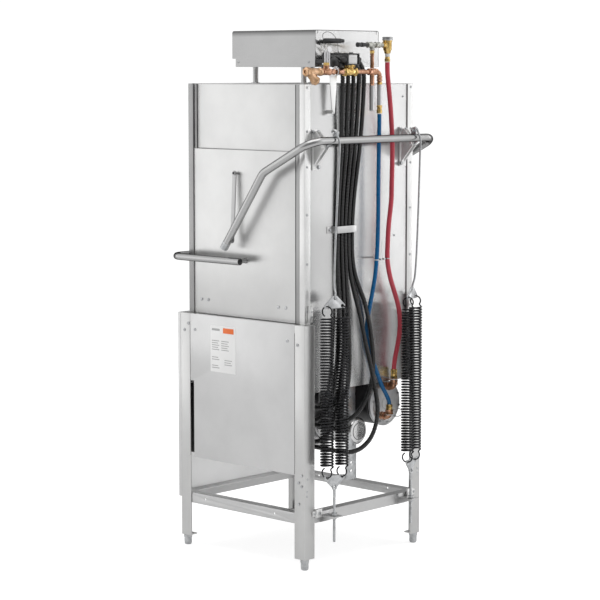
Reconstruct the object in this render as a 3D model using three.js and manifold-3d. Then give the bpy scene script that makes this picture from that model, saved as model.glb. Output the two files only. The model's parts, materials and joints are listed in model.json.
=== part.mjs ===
// Commercial door-type dishwasher: a free-standing stand and wash tank, a square hood with three
// doors that lift together, a spring-balanced lift arm, wash and rinse arms, pump, booster heater
// and the water pipes on the rear wall.
// Units are millimetres. Z is up, the operator stands at -Y, and +X is the operator's right.

import * as THREE from 'three';
import { mergeVertices } from 'three/addons/utils/BufferGeometryUtils.js';
import Module from 'manifold-3d';

const wasm = await Module();
wasm.setup();

// ---------------------------------------------------------------- driving dimensions
const GAP = 0.3;                  // clearance between touching pieces
const SHEET = 2;                  // stainless sheet
const TABLE_HEIGHT = 864;         // top of the base, where the dish tables join
const BASE_HALF = 311;            // half the width of the base over the legs
const HOOD_HALF = 288;            // half the width of the hood over the posts
const HOOD_TOP = 1697;

const LEG = { flange: 50, sheet: 2.5, bottom: 38, capWidth: 21, plateThickness: 4 };
const FOOT = { centre: 295, stemRadius: 6, stemTop: 75 };
const RING = { bottom: 163, top: 201, angle: 38, sheet: 2.5 };
const SKIRT = { bottom: 336, leftBottom: 612, notchTop: 618, notchWidth: 18 };
const APRON = { bottom: 180, depth: 14 };
const TANK = { half: 246, front: -250, rear: 272, bottom: 622, sheet: 2 };
const REAR_WALL = { bottom: 620, outerFace: 285, half: 264 };
const DOOR = { half: 266, outerFace: 285, thickness: 3, bottom: 866, top: 1463 };
const UPPER_PANEL = { outerFace: 277.5, half: 266, bottom: 1440 };
const SPINDLE_RADIUS = 12;

const HANDLE = { side: 333, front: -336, rearEnd: 18, height: 1071, radius: 12.5, bend: 50 };
const ARM = { side: 333, radius: 13.5, bend: 60, cross: { y: 360, z: 1503 } };
const ARM_PIVOT = { x: 234, y: 332, z: 1486, pinRadius: 6 };
const ARM_BOLT = { y: -44, z: 1141 };
const LINK = { length: 240, innerFace: 308, thickness: 4, width: 26 };

const EAR = { x: 208, y: 360, z: 1529 };
const SPRING = { radius: 24.5, bottom: 363, top: 893, spread: 30, toe: 8, y: 356 };
const UPPER_PLATE = { apex: 966, base: 922, half: 42, thickness: 4 };
const LOWER_PLATE = { apex: 288, base: 334, half: 42, thickness: 4 };
const EYEBOLT = { radius: 5, bottom: 96 };
const SPRING_SHELF = { z: 186, thickness: 4, half: 22, rear: 378 };

const ROCKER_TILT = 0.105;
const CONTROL_BOX = { half: 169, front: -181, rear: 226, bottom: 1755, top: 1884 };
const PIPE_RUN = { y: 330, z: 1738, radius: 9, elbowX: -54 };
const VACUUM_BREAKER = { x: -96, z: 1832 };
const BOOSTER = { x: -190, z: 530, radius: 80, front: -80, rear: 250 };
const MOTOR = { x: -41, z: 445, radius: 50, front: 70, rear: 250 };
const VOLUTE = { radius: 78, front: 14, rear: 66, cavityRadius: 62 };
const ELECTRIC_BOX = { x0: 60, x1: 300, y0: -275, y1: -60, z0: 350, z1: 604 };

// ---------------------------------------------------------------- materials
function material(color, roughness, metalness) {
  return new THREE.MeshStandardMaterial({ color, roughness, metalness });
}

const MATERIALS = {
  stainless: () => material(0xd4d5d4, 0.35, 1),
  stainlessTube: () => material(0xc9cac9, 0.25, 1),
  zincSteel: () => material(0xb8b9ba, 0.4, 1),
  springSteel: () => material(0x161616, 0.45, 0.8),
  blackPlastic: () => material(0x151515, 0.6, 0),
  blackPaint: () => material(0x1b1b1c, 0.5, 0.2),
  greyPaint: () => material(0xd9dadb, 0.45, 0.3),
  copper: () => material(0xc08560, 0.35, 1),
  brass: () => material(0xc9a23a, 0.35, 1),
  redHose: () => material(0xb03040, 0.5, 0),
  blueHose: () => material(0x0a5f98, 0.5, 0),
  conduit: () => material(0x0e0e0f, 0.5, 0),
  greenButton: () => material(0x2c8a4b, 0.4, 0),
};

// ---------------------------------------------------------------- solids and booleans
function toSolid(geometry) {
  const plain = geometry.clone();
  plain.deleteAttribute('normal');
  plain.deleteAttribute('uv');
  const merged = mergeVertices(plain, 1e-4);
  const vertProperties = new Float32Array(merged.attributes.position.array);
  const triVerts = new Uint32Array(merged.index.array);
  return new wasm.Manifold(new wasm.Mesh({ numProp: 3, vertProperties, triVerts }));
}

function toGeometry(solid) {
  const mesh = solid.getMesh();
  const geometry = new THREE.BufferGeometry();
  geometry.setAttribute('position', new THREE.BufferAttribute(new Float32Array(mesh.vertProperties), 3));
  geometry.setIndex(new THREE.BufferAttribute(new Uint32Array(mesh.triVerts), 1));
  geometry.computeVertexNormals();
  return geometry;
}

function join(...geometries) {
  return toGeometry(geometries.map(toSolid).reduce((sum, piece) => sum.add(piece)));
}

function cut(geometry, ...tools) {
  return toGeometry(tools.map(toSolid).reduce((rest, tool) => rest.subtract(tool), toSolid(geometry)));
}

function mirrorX(geometry) {
  const mirrored = geometry.clone();
  mirrored.scale(-1, 1, 1);
  const index = Array.from(mirrored.index.array);
  for (let i = 0; i < index.length; i += 3) {
    [index[i + 1], index[i + 2]] = [index[i + 2], index[i + 1]];
  }
  mirrored.setIndex(index);
  mirrored.computeVertexNormals();
  return mirrored;
}

function box(x0, x1, y0, y1, z0, z1) {
  const geometry = new THREE.BoxGeometry(x1 - x0, y1 - y0, z1 - z0);
  return geometry.translate((x0 + x1) / 2, (y0 + y1) / 2, (z0 + z1) / 2);
}

// A round bar between two points.
function rod(radius, from, to, sides = 16) {
  const start = new THREE.Vector3(...from);
  const end = new THREE.Vector3(...to);
  const geometry = new THREE.CylinderGeometry(radius, radius, start.distanceTo(end), sides);
  const up = new THREE.Vector3(0, 1, 0);
  const turn = new THREE.Quaternion().setFromUnitVectors(up, end.clone().sub(start).normalize());
  const middle = start.clone().add(end).multiplyScalar(0.5);
  return geometry.applyQuaternion(turn).translate(middle.x, middle.y, middle.z);
}

// A turned piece about a vertical axis; the profile is a list of [radius, height].
function turned(profile, x, y, sides = 20) {
  const points = profile.map(([radius, height]) => new THREE.Vector2(radius, height));
  return new THREE.LatheGeometry(points, sides).rotateX(Math.PI / 2).translate(x, y, 0);
}

function outline(points) {
  return new THREE.Shape(points.map(([a, b]) => new THREE.Vector2(a, b)));
}

// Extrudes an outline given in X and Y from z0 up to z1.
function prismZ(points, z0, z1) {
  const options = { depth: z1 - z0, bevelEnabled: false };
  return new THREE.ExtrudeGeometry(outline(points), options).translate(0, 0, z0);
}

// Extrudes an outline given in Y and Z from x0 to x1.
function prismX(points, x0, x1) {
  const options = { depth: x1 - x0, bevelEnabled: false };
  const geometry = new THREE.ExtrudeGeometry(outline(points), options);
  const axes = new THREE.Matrix4().makeBasis(
    new THREE.Vector3(0, 1, 0), new THREE.Vector3(0, 0, 1), new THREE.Vector3(1, 0, 0));
  return geometry.applyMatrix4(axes).translate(x0, 0, 0);
}

// Extrudes an outline given in X and Z from y0 to y1.
function prismY(points, y0, y1) {
  const options = { depth: y1 - y0, bevelEnabled: false };
  const geometry = new THREE.ExtrudeGeometry(outline(points), options);
  return geometry.rotateX(Math.PI / 2).translate(0, y1, 0);
}

// ---------------------------------------------------------------- tubes along routes
// A polyline whose steps land exactly on its points, with the mean direction at each point.
class Route extends THREE.Curve {
  constructor(points) {
    super();
    this.points = points;
  }

  getPoint(t, target = new THREE.Vector3()) {
    const last = this.points.length - 1;
    const place = Math.min(Math.max(t, 0), 1) * last;
    const index = Math.min(Math.floor(place), last - 1);
    return target.lerpVectors(this.points[index], this.points[index + 1], place - index);
  }

  getPointAt(u, target) {
    return this.getPoint(u, target);
  }

  getTangentAt(u, target = new THREE.Vector3()) {
    const last = this.points.length - 1;
    const index = Math.round(u * last);
    const here = this.points[index];
    const before = this.points[Math.max(index - 1, 0)];
    const after = this.points[Math.min(index + 1, last)];
    const arriving = here.clone().sub(before).normalize();
    const leaving = after.clone().sub(here).normalize();
    return target.copy(arriving).add(leaving).normalize();
  }
}

// Replaces each inner corner of a polyline by an arc-like bend.
function bentRoute(corners, radius, bendSteps = 5) {
  const points = corners.map((corner) => new THREE.Vector3(...corner));
  const route = [points[0]];
  for (let i = 1; i < points.length - 1; i += 1) {
    const toBefore = points[i - 1].clone().sub(points[i]).normalize();
    const toAfter = points[i + 1].clone().sub(points[i]).normalize();
    const halfTurn = (Math.PI - toBefore.angleTo(toAfter)) / 2;
    const reach = radius * Math.tan(halfTurn);
    const bisector = toBefore.clone().add(toAfter).normalize();
    const centre = points[i].clone().addScaledVector(bisector, radius / Math.cos(halfTurn));
    const start = points[i].clone().addScaledVector(toBefore, reach).sub(centre);
    const end = points[i].clone().addScaledVector(toAfter, reach).sub(centre);
    const axis = start.clone().cross(end).normalize();
    for (let step = 0; step <= bendSteps; step += 1) {
      const angle = (2 * halfTurn * step) / bendSteps;
      route.push(start.clone().applyAxisAngle(axis, angle).add(centre));
    }
  }
  route.push(points[points.length - 1]);
  return new Route(route);
}

function smoothRoute(points, steps) {
  const curve = new THREE.CatmullRomCurve3(points.map((point) => new THREE.Vector3(...point)));
  return new Route(curve.getSpacedPoints(steps));
}

function tube(route, radius, sides = 12) {
  const section = new THREE.Shape();
  for (let i = 0; i < sides; i += 1) {
    const angle = (2 * Math.PI * i) / sides;
    const x = radius * Math.cos(angle);
    const y = radius * Math.sin(angle);
    if (i === 0) section.moveTo(x, y);
    else section.lineTo(x, y);
  }
  const options = { steps: route.points.length - 1, extrudePath: route, bevelEnabled: false };
  return new THREE.ExtrudeGeometry(section, options);
}

// ---------------------------------------------------------------- the assembly
const group = new THREE.Group();

function add(name, geometry, makeMaterial) {
  const mesh = new THREE.Mesh(geometry, makeMaterial());
  mesh.name = name;
  group.add(mesh);
}

function addPair(name, geometry, makeMaterial) {
  add(`${name}_right`, geometry, makeMaterial);
  add(`${name}_left`, mirrorX(geometry.index ? geometry : mergeVertices(geometry)), makeMaterial);
}

// ---------------------------------------------------------------- stand
// An L angle with a foot plate at the bottom and a rim at the top; sx and sy give its corner.
function leg(sx, sy) {
  const corner = (outer, inner, width) => {
    const points = [[outer, outer], [outer, outer - width], [inner, outer - width],
      [inner, inner], [outer - width, inner], [outer - width, outer]];
    const placed = points.map(([x, y]) => [x * sx, y * sy]);
    return sx * sy > 0 ? placed : placed.reverse();
  };
  const flanges = corner(BASE_HALF, BASE_HALF - LEG.sheet, LEG.flange);
  const rim = corner(BASE_HALF, BASE_HALF - LEG.capWidth, LEG.flange);
  const angle = prismZ(flanges, LEG.bottom, TABLE_HEIGHT);
  const cap = prismZ(rim, TABLE_HEIGHT - LEG.sheet, TABLE_HEIGHT);
  const inner = BASE_HALF - 40;
  const outer = BASE_HALF - LEG.sheet / 2;
  const plate = box(Math.min(inner * sx, outer * sx), Math.max(inner * sx, outer * sx),
    Math.min(inner * sy, outer * sy), Math.max(inner * sy, outer * sy),
    LEG.bottom, LEG.bottom + LEG.plateThickness);
  const hole = rod(FOOT.stemRadius + 0.5, [FOOT.centre * sx, FOOT.centre * sy, 0],
    [FOOT.centre * sx, FOOT.centre * sy, 60], 10);
  return cut(join(angle, cap, plate), hole);
}

function foot(sx, sy) {
  const shoulder = LEG.bottom - GAP;
  const profile = [[0, 0], [11, 0], [13.5, 5], [14, 12], [14, 26], [15.5, 28], [15.5, shoulder],
    [FOOT.stemRadius, shoulder], [FOOT.stemRadius, FOOT.stemTop], [0, FOOT.stemTop]];
  return turned(profile, FOOT.centre * sx, FOOT.centre * sy, 12);
}

function squareRing(outer, inner, z0, z1) {
  const shape = outline([[-outer, -outer], [outer, -outer], [outer, outer], [-outer, outer]]);
  const hole = outline([[-inner, -inner], [-inner, inner], [inner, inner], [inner, -inner]]);
  shape.holes.push(hole);
  const options = { depth: z1 - z0, bevelEnabled: false };
  return new THREE.ExtrudeGeometry(shape, options).translate(0, 0, z0);
}

// Shelf bracket on the rear rail that the spring eyebolt passes through.
function springShelf(side, railFace) {
  const x = EAR.x * side;
  const top = SPRING_SHELF.z + SPRING_SHELF.thickness;
  const flange = box(x - SPRING_SHELF.half, x + SPRING_SHELF.half, railFace - 1, railFace + 3,
    RING.bottom, RING.top);
  const shelf = box(x - SPRING_SHELF.half, x + SPRING_SHELF.half, railFace, SPRING_SHELF.rear,
    SPRING_SHELF.z, top);
  const gussetOutline = [[railFace, RING.bottom], [SPRING_SHELF.rear, SPRING_SHELF.z],
    [SPRING_SHELF.rear, top], [railFace, top]];
  const innerGusset = prismX(gussetOutline, x - SPRING_SHELF.half, x - SPRING_SHELF.half + 3);
  const outerGusset = prismX(gussetOutline, x + SPRING_SHELF.half - 3, x + SPRING_SHELF.half);
  const hole = rod(EYEBOLT.radius + 1, [x, SPRING.y, 150], [x, SPRING.y, 230]);
  return cut(join(flange, shelf, innerGusset, outerGusset), hole);
}

// The welded square of angle rails between the legs, with both spring shelves.
function lowerFrame() {
  const outer = BASE_HALF - LEG.sheet - GAP;
  const upright = squareRing(outer, outer - RING.sheet, RING.bottom, RING.top);
  const flange = squareRing(outer, outer - RING.angle, RING.top - RING.sheet, RING.top);
  const holes = [];
  for (const along of [-190, 160]) {
    for (const side of [-1, 1]) {
      holes.push(rod(4, [(outer - 10) * side, along, 184], [(outer + 10) * side, along, 184], 6));
      holes.push(rod(4, [along, (outer - 20) * side, 190], [along, (outer - 20) * side, 210], 6));
    }
  }
  const ring = cut(join(upright, flange), ...holes);
  return join(ring, springShelf(1, outer), springShelf(-1, outer));
}

// Side panel between the legs with an inward rim and a notch at its lower front corner.
function sideSkirt(bottom) {
  const half = BASE_HALF - LEG.flange - GAP;
  const inner = BASE_HALF - SHEET;
  const front = -half + SKIRT.notchWidth;
  const panel = prismX([[front, bottom], [half, bottom], [half, TABLE_HEIGHT],
    [-half, TABLE_HEIGHT], [-half, SKIRT.notchTop], [front, SKIRT.notchTop]], inner, BASE_HALF);
  const rim = box(BASE_HALF - LEG.capWidth, BASE_HALF, -half, half,
    TABLE_HEIGHT - LEG.sheet, TABLE_HEIGHT);
  const hem = box(inner - 12, inner + 1, front, half, bottom, bottom + SHEET);
  return join(panel, rim, hem);
}

function frontApron() {
  const back = -BASE_HALF - GAP;
  const front = -BASE_HALF - APRON.depth;
  const sheet = box(-BASE_HALF, BASE_HALF, front, front + SHEET, APRON.bottom, TABLE_HEIGHT);
  const right = box(BASE_HALF - SHEET, BASE_HALF, front, back, APRON.bottom, TABLE_HEIGHT);
  const left = box(-BASE_HALF, -BASE_HALF + SHEET, front, back, APRON.bottom, TABLE_HEIGHT);
  const top = box(-BASE_HALF, BASE_HALF, front, back, TABLE_HEIGHT - SHEET, TABLE_HEIGHT);
  const bottom = box(-BASE_HALF, BASE_HALF, front, back, APRON.bottom, APRON.bottom + SHEET);
  return join(sheet, right, left, top, bottom);
}

// Open tank with a rim that the posts stand on and a riser for the lower arms.
function washTank() {
  const rimTop = TABLE_HEIGHT - GAP;
  const rimHalf = BASE_HALF - LEG.capWidth - GAP;
  const wallGap = REAR_WALL.outerFace - SHEET - GAP;
  const shell = box(-TANK.half, TANK.half, TANK.front, TANK.rear, TANK.bottom, rimTop);
  const rim = box(-rimHalf, rimHalf, -rimHalf, wallGap, rimTop - SHEET, rimTop);
  const cavity = box(-TANK.half + TANK.sheet, TANK.half - TANK.sheet, TANK.front + TANK.sheet,
    TANK.rear - TANK.sheet, TANK.bottom + TANK.sheet, rimTop + 20);
  const closedDrain = rod(34, [-40, -160, TANK.bottom - 8], [-40, -160, TANK.bottom + 1], 24);
  const riser = rod(SPINDLE_RADIUS, [0, 0, TANK.bottom + 1], [0, 0, 860], 20);
  const collarHeight = 812;
  const collar = rod(22, [0, 0, TANK.bottom + 1], [0, 0, collarHeight], 20);
  return join(cut(join(shell, rim), cavity), closedDrain, riser, collar);
}

// ---------------------------------------------------------------- hood
// Corner post with a door channel along both faces.
function post(sx, sy) {
  const profile = [[0, 0], [36, 0], [36, 2], [20, 2], [20, 7], [36, 7], [36, 9], [18, 9],
    [9, 18], [9, 36], [7, 36], [7, 20], [2, 20], [2, 36], [0, 36]];
  const placed = profile.map(([u, w]) => [(HOOD_HALF - w) * sx, (HOOD_HALF - u) * sy]);
  const points = sx * sy > 0 ? placed : placed.reverse();
  return prismZ(points, TABLE_HEIGHT, HOOD_TOP - SHEET - GAP);
}

function rearWall() {
  return box(-REAR_WALL.half, REAR_WALL.half, REAR_WALL.outerFace - SHEET, REAR_WALL.outerFace,
    REAR_WALL.bottom, HOOD_TOP - SHEET - GAP);
}

// Top sheet with slots for the three rising doors, the front header and the upper spindle.
function hoodTop() {
  const slotEnd = DOOR.half + 1.5;
  const slotFace = HOOD_HALF - 9.5;
  const points = [[-HOOD_HALF, HOOD_HALF], [-HOOD_HALF, slotEnd], [-slotFace, slotEnd],
    [-slotFace, -slotEnd], [-HOOD_HALF, -slotEnd], [-HOOD_HALF, -HOOD_HALF],
    [-slotEnd, -HOOD_HALF], [-slotEnd, -slotFace], [slotEnd, -slotFace], [slotEnd, -HOOD_HALF],
    [HOOD_HALF, -HOOD_HALF], [HOOD_HALF, -slotEnd], [slotFace, -slotEnd], [slotFace, slotEnd],
    [HOOD_HALF, slotEnd], [HOOD_HALF, HOOD_HALF]];
  const top = prismZ(points, HOOD_TOP - SHEET, HOOD_TOP);
  const header = box(-UPPER_PANEL.half, UPPER_PANEL.half, -UPPER_PANEL.outerFace,
    -UPPER_PANEL.outerFace + SHEET, UPPER_PANEL.bottom, HOOD_TOP - 1);
  const spindle = rod(SPINDLE_RADIUS, [0, 0, 1600], [0, 0, HOOD_TOP - 1], 20);
  const collar = rod(22, [0, 0, 1662], [0, 0, HOOD_TOP - 1], 20);
  return join(top, header, spindle, collar);
}

function upperSidePanel() {
  return box(UPPER_PANEL.outerFace - SHEET, UPPER_PANEL.outerFace, -UPPER_PANEL.half,
    UPPER_PANEL.half, UPPER_PANEL.bottom, HOOD_TOP - SHEET - GAP);
}

function sideDoor() {
  return box(DOOR.outerFace - DOOR.thickness, DOOR.outerFace, -DOOR.half, DOOR.half,
    DOOR.bottom, DOOR.top);
}

function frontDoor() {
  return box(-DOOR.half, DOOR.half, -DOOR.outerFace, -DOOR.outerFace + DOOR.thickness,
    DOOR.bottom, DOOR.top);
}

// Rectangle of bars that carries the rack, on four short feet over the tank.
function rackTrack() {
  const half = 238;
  const bar = 10;
  const top = 892;
  const seat = TABLE_HEIGHT + GAP;
  const edge = half + bar / 2;
  const pieces = [];
  for (const sign of [-1, 1]) {
    const near = sign * half;
    pieces.push(box(near - bar / 2, near + bar / 2, -half, half, top - bar, top));
    pieces.push(box(-half, half, near - bar / 2, near + bar / 2, top - bar, top));
    for (const y of [20 - half, half - 20]) {
      pieces.push(box(near - bar / 2, near + bar / 2, y - 8, y + 8, seat, top - 2));
    }
  }
  for (const [inner, outer, toe] of [[edge - 6, edge, 258], [-edge, 6 - edge, -258]]) {
    pieces.push(box(inner, outer, -half, half, top - bar, top + 14));
    for (const y of [20 - half, half - 20]) {
      pieces.push(box(Math.min(inner, toe), Math.max(outer, toe), y - 8, y + 8,
        seat, TABLE_HEIGHT + 4));
    }
  }
  return join(...pieces);
}

// ---------------------------------------------------------------- spray arms
// A flat tube with a hub; the angle turns the arm about the vertical spindle.
function sprayArm(length, width, z0, z1, angle) {
  const half = length / 2;
  const bar = join(
    box(-half, half, -width / 2, width / 2, z0, z1),
    rod(SPINDLE_RADIUS + 8, [0, 0, z0 - 2], [0, 0, z1 + 2], 16),
  );
  const bore = rod(SPINDLE_RADIUS + 0.8, [0, 0, z0 - 20], [0, 0, z1 + 20], 16);
  return cut(bar, bore).rotateZ(angle);
}

// ---------------------------------------------------------------- door handle and lift arm
function doorHandle() {
  const { side, front, rearEnd, height, radius, bend } = HANDLE;
  const route = bentRoute([[side, rearEnd, height], [side, front, height],
    [-side, front, height], [-side, rearEnd, height]], bend);
  const face = DOOR.outerFace + GAP;
  const standoffs = [
    rod(8, [side, 0, height], [face, 0, height], 10),
    rod(8, [-side, 0, height], [-face, 0, height], 10),
    rod(8, [150, front, height], [150, -face, height], 10),
    rod(8, [-150, front, height], [-150, -face, height], 10),
  ];
  return join(tube(route, radius, 12), ...standoffs);
}

// Plate with the spring ear's cross bolt, standing on the cross tube.
function springEar(side) {
  const x = EAR.x * side;
  const { y, z } = ARM.cross;
  const plate = prismX([[y - 12, z + 6], [y + 12, z + 6], [y + 10, EAR.z + 6],
    [y + 5, EAR.z + 11], [y - 5, EAR.z + 11], [y - 10, EAR.z + 6]], x - 2, x + 2);
  const bolt = rod(4.5, [x - 14, EAR.y, EAR.z], [x + 14, EAR.y, EAR.z], 12);
  return join(plate, bolt);
}

// Lug that reaches from the cross tube down to the pivot pin.
function pivotLug(side) {
  const x = ARM_PIVOT.x * side;
  const { y, z } = ARM_PIVOT;
  const lug = prismX([[y - 13, z - 6], [y - 6, z - 13], [y + 6, z - 13], [y + 18, z - 4],
    [y + 34, z + 6], [y + 26, z + 24], [y + 8, z + 16], [y - 8, z + 12], [y - 13, z + 6]],
  x - 5, x + 5);
  const hole = rod(ARM_PIVOT.pinRadius + 0.5, [x - 20, y, z], [x + 20, y, z]);
  return { lug, hole };
}

function liftArm() {
  const { side, cross } = ARM;
  const route = bentRoute([[side, -62, 1115], [side, 131, 1388], [side, cross.y, cross.z],
    [-side, cross.y, cross.z], [-side, 131, 1388], [-side, -62, 1115]], ARM.bend, 4);
  const tubes = tube(route, ARM.radius, 12);
  const boltEnd = LINK.innerFace + LINK.thickness + GAP;
  const bolts = [1, -1].map((s) => rod(6, [side * s, ARM_BOLT.y, ARM_BOLT.z],
    [boltEnd * s, ARM_BOLT.y, ARM_BOLT.z], 12));
  const right = pivotLug(1);
  const left = pivotLug(-1);
  const body = join(tubes, right.lug, left.lug, springEar(1), springEar(-1), ...bolts);
  return cut(body, right.hole, left.hole);
}

// Strap with round ends and a pin that meets the door.
function doorLink() {
  const { length, innerFace, thickness, width } = LINK;
  const top = ARM_BOLT.z + length;
  const points = [];
  for (let i = 0; i <= 8; i += 1) {
    const angle = (Math.PI * i) / 8;
    points.push([ARM_BOLT.y + (width / 2) * Math.cos(angle), top + (width / 2) * Math.sin(angle)]);
  }
  for (let i = 0; i <= 8; i += 1) {
    const angle = Math.PI + (Math.PI * i) / 8;
    points.push([ARM_BOLT.y + (width / 2) * Math.cos(angle),
      ARM_BOLT.z + (width / 2) * Math.sin(angle)]);
  }
  const strap = prismX(points, innerFace, innerFace + thickness);
  const pin = rod(6, [DOOR.outerFace + GAP, ARM_BOLT.y, top], [innerFace + 7, ARM_BOLT.y, top], 12);
  return join(strap, pin);
}

// Wall flange with two cheeks and the pin that the lift arm turns on.
function pivotBracket() {
  const { x, y, z, pinRadius } = ARM_PIVOT;
  const wall = REAR_WALL.outerFace + GAP;
  const flange = box(x - 20, x + 16, wall, wall + 4, 1400, 1540);
  const cheekOutline = [[wall + 1, 1412], [y + 8, z - 14], [y + 13, z], [y + 8, z + 12],
    [wall + 15, 1534], [wall + 1, 1534]];
  const cheeks = [
    prismX(cheekOutline, x - 11, x - 7),
    prismX(cheekOutline, x + 7, x + 11),
  ];
  const pin = rod(pinRadius, [x - 14, y, z], [x + 14, y, z]);
  const heads = [
    rod(10, [x - 17, y, z], [x - 10, y, z], 6),
    rod(10, [x + 10, y, z], [x + 17, y, z], 6),
  ];
  return join(flange, ...cheeks, pin, ...heads);
}

// ---------------------------------------------------------------- balance springs
// Triangular plate in the plane of a spring pair, turned a little about the vertical.
function springPlate(side, plate) {
  const pointsUp = plate.apex > plate.base;
  const low = Math.min(plate.apex, plate.base);
  const high = Math.max(plate.apex, plate.base);
  const points = pointsUp
    ? [[-plate.half, low], [plate.half, low], [plate.half, low + 12], [8, high], [-8, high],
      [-plate.half, low + 12]]
    : [[-8, low], [8, low], [plate.half, high - 12], [plate.half, high], [-plate.half, high],
      [-plate.half, high - 12]];
  const toe = Math.atan2(SPRING.toe, SPRING.spread) * side;
  const geometry = prismY(points, -plate.thickness / 2, plate.thickness / 2);
  return geometry.rotateZ(-toe).translate(EAR.x * side, SPRING.y, 0);
}

// Round envelope of one coil spring with its end hooks.
function spring(side, inner) {
  const spreadSign = inner ? -1 : 1;
  const x = (EAR.x + SPRING.spread * spreadSign) * side;
  const y = SPRING.y - SPRING.toe * spreadSign;
  const wire = 4;
  const profile = [[0, LOWER_PLATE.base + 1], [wire, LOWER_PLATE.base + 1], [wire, SPRING.bottom],
    [SPRING.radius, SPRING.bottom], [SPRING.radius, SPRING.top], [wire, SPRING.top],
    [wire, UPPER_PLATE.base - 1], [0, UPPER_PLATE.base - 1]];
  return turned(profile, x, y, 10);
}

// Rod that hooks over the ear bolt, passes behind the cross tube and carries the upper plate.
function springHanger(side) {
  const x = (EAR.x + 8) * side;
  const { y, z } = EAR;
  const hook = [[x, y - 11, z + 2], [x, y - 9, z + 6.5], [x, y - 4, z + 10], [x, y + 2, z + 10.5],
    [x, y + 9, z + 5], [x, y + 13, z - 5], [x, y + 22, z - 22], [x, y + 25, z - 40],
    [x, y + 24, z - 70]];
  const rodRoute = new Route([...hook, [x, SPRING.y + 6, 1000], [EAR.x * side, SPRING.y, 975],
    [EAR.x * side, SPRING.y, UPPER_PLATE.apex - 12]].map((point) => new THREE.Vector3(...point)));
  return join(tube(rodRoute, 4, 8), springPlate(side, UPPER_PLATE));
}

// Lower plate on its threaded eyebolt, with the adjusting nuts over and under the shelf.
function springAnchor(side) {
  const x = EAR.x * side;
  const y = SPRING.y;
  const shelfTop = SPRING_SHELF.z + SPRING_SHELF.thickness + GAP;
  const shelfBottom = SPRING_SHELF.z - GAP;
  const bolt = rod(EYEBOLT.radius, [x, y, EYEBOLT.bottom], [x, y, LOWER_PLATE.apex + 12], 12);
  const nuts = [
    rod(9.5, [x, y, shelfTop], [x, y, shelfTop + 8], 6),
    rod(9.5, [x, y, shelfBottom - 8], [x, y, shelfBottom], 6),
  ];
  return join(bolt, ...nuts, springPlate(side, LOWER_PLATE));
}

// ---------------------------------------------------------------- control box
// Bent cover, open underneath, with a slanted front lower edge.
function controlCover() {
  const { half, front, rear, bottom, top } = CONTROL_BOX;
  const side = [[front, bottom + 29], [front + 24, bottom], [rear, bottom], [rear, top],
    [front + 6, top], [front, top - 6]];
  const inset = [[front + SHEET, bottom - 5], [rear - SHEET, bottom - 5],
    [rear - SHEET, top - SHEET], [front + SHEET, top - SHEET]];
  const shell = prismX(side, -half, half);
  const cavity = prismX(inset, -half + SHEET, half - SHEET);
  const rocker = box(-74, -46, front - 5, front + 10, 1816, 1844);
  const button = rod(9.5, [60, front - 5, 1830], [60, front + 10, 1830], 20);
  const { z } = CONDUIT_START;
  const exits = Object.values(CONDUITS).map(([x]) => x);
  const glands = exits.map((x) => rod(12.5, [x, rear - 1, z], [x, rear + 6, z], 12));
  const bores = exits.map((x) => rod(CONDUIT_RADIUS + 1.3, [x, rear - 10, z], [x, rear + 20, z], 12));
  return cut(join(cut(shell, cavity), ...glands), rocker, button, ...bores);
}

// Floor of the control box on its four tube legs.
function controlBase() {
  const { half, front, rear, bottom } = CONTROL_BOX;
  const inset = SHEET + GAP;
  const floor = box(-half + inset, half - inset, front + 26, rear - inset, bottom, bottom + SHEET);
  const legs = [];
  for (const x of [-150, 150]) {
    for (const y of [-82, 155]) {
      legs.push(rod(10, [x, y, HOOD_TOP + GAP], [x, y, bottom + 1], 12));
      legs.push(rod(16, [x, y, HOOD_TOP + GAP], [x, y, HOOD_TOP + 3], 12));
    }
  }
  return join(floor, ...legs);
}

// Rocker with a hollow face, tilted about its pivot into the off position.
function powerSwitch() {
  const { front } = CONTROL_BOX;
  const pivot = { y: front + 4, z: 1830 };
  const rocker = prismX([[-8, -12.5], [-5, 0], [-8, 12.5], [4, 12.5], [4, -12.5]], -73, -47);
  return rocker.rotateX(-ROCKER_TILT).translate(0, pivot.y, pivot.z);
}

function startButton() {
  const { front } = CONTROL_BOX;
  return join(
    rod(9, [60, front - 8, 1830], [60, front + 5, 1830], 20),
    rod(12, [60, front + SHEET + GAP, 1830], [60, front + 6, 1830], 20),
  );
}

// ---------------------------------------------------------------- water inlet
// Pipe run with inlet strainer, shock arrestor, solenoid valve, elbow and wall strap.
function inletManifold() {
  const { y, z, radius, elbowX } = PIPE_RUN;
  const strap = join(
    prismY([[158, 1592], [184, 1592], [190, z - 11], [152, z - 11]], 312, 315),
    box(160, 182, 285.3, 313, 1592, 1612),
    box(154, 188, 313, y + 4, z - 13, z - 7),
  );
  return join(
    tube(bentRoute([[300, y, z], [elbowX, y, z], [elbowX, y, 1612]], 16, 3), radius, 10),
    rod(17, [304, y, z], [330, y, z], 6),
    rod(13, [250, y, z], [306, y, z], 10),
    rod(12, [284, y, z], [262, y, z - 36], 10),
    rod(12, [211, y, z], [236, y, z], 10),
    rod(7, [223, y, z], [223, y, z + 28], 10),
    rod(11, [223, y, z + 24], [223, y, z + 70], 12),
    rod(14, [168, y, z], [184, y, z], 6),
    box(74, 134, y - 12, y + 16, z - 12, z + 22),
    box(68, 131, y - 12, y + 18, z + 20, z + 68),
    rod(12, [-27, y, z], [0, y, z], 10),
    rod(12, [elbowX, y, z - 22], [elbowX, y, z - 44], 10),
    rod(11, [elbowX, y, 1592], [elbowX, y, 1622], 10),
    strap,
  );
}

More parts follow.
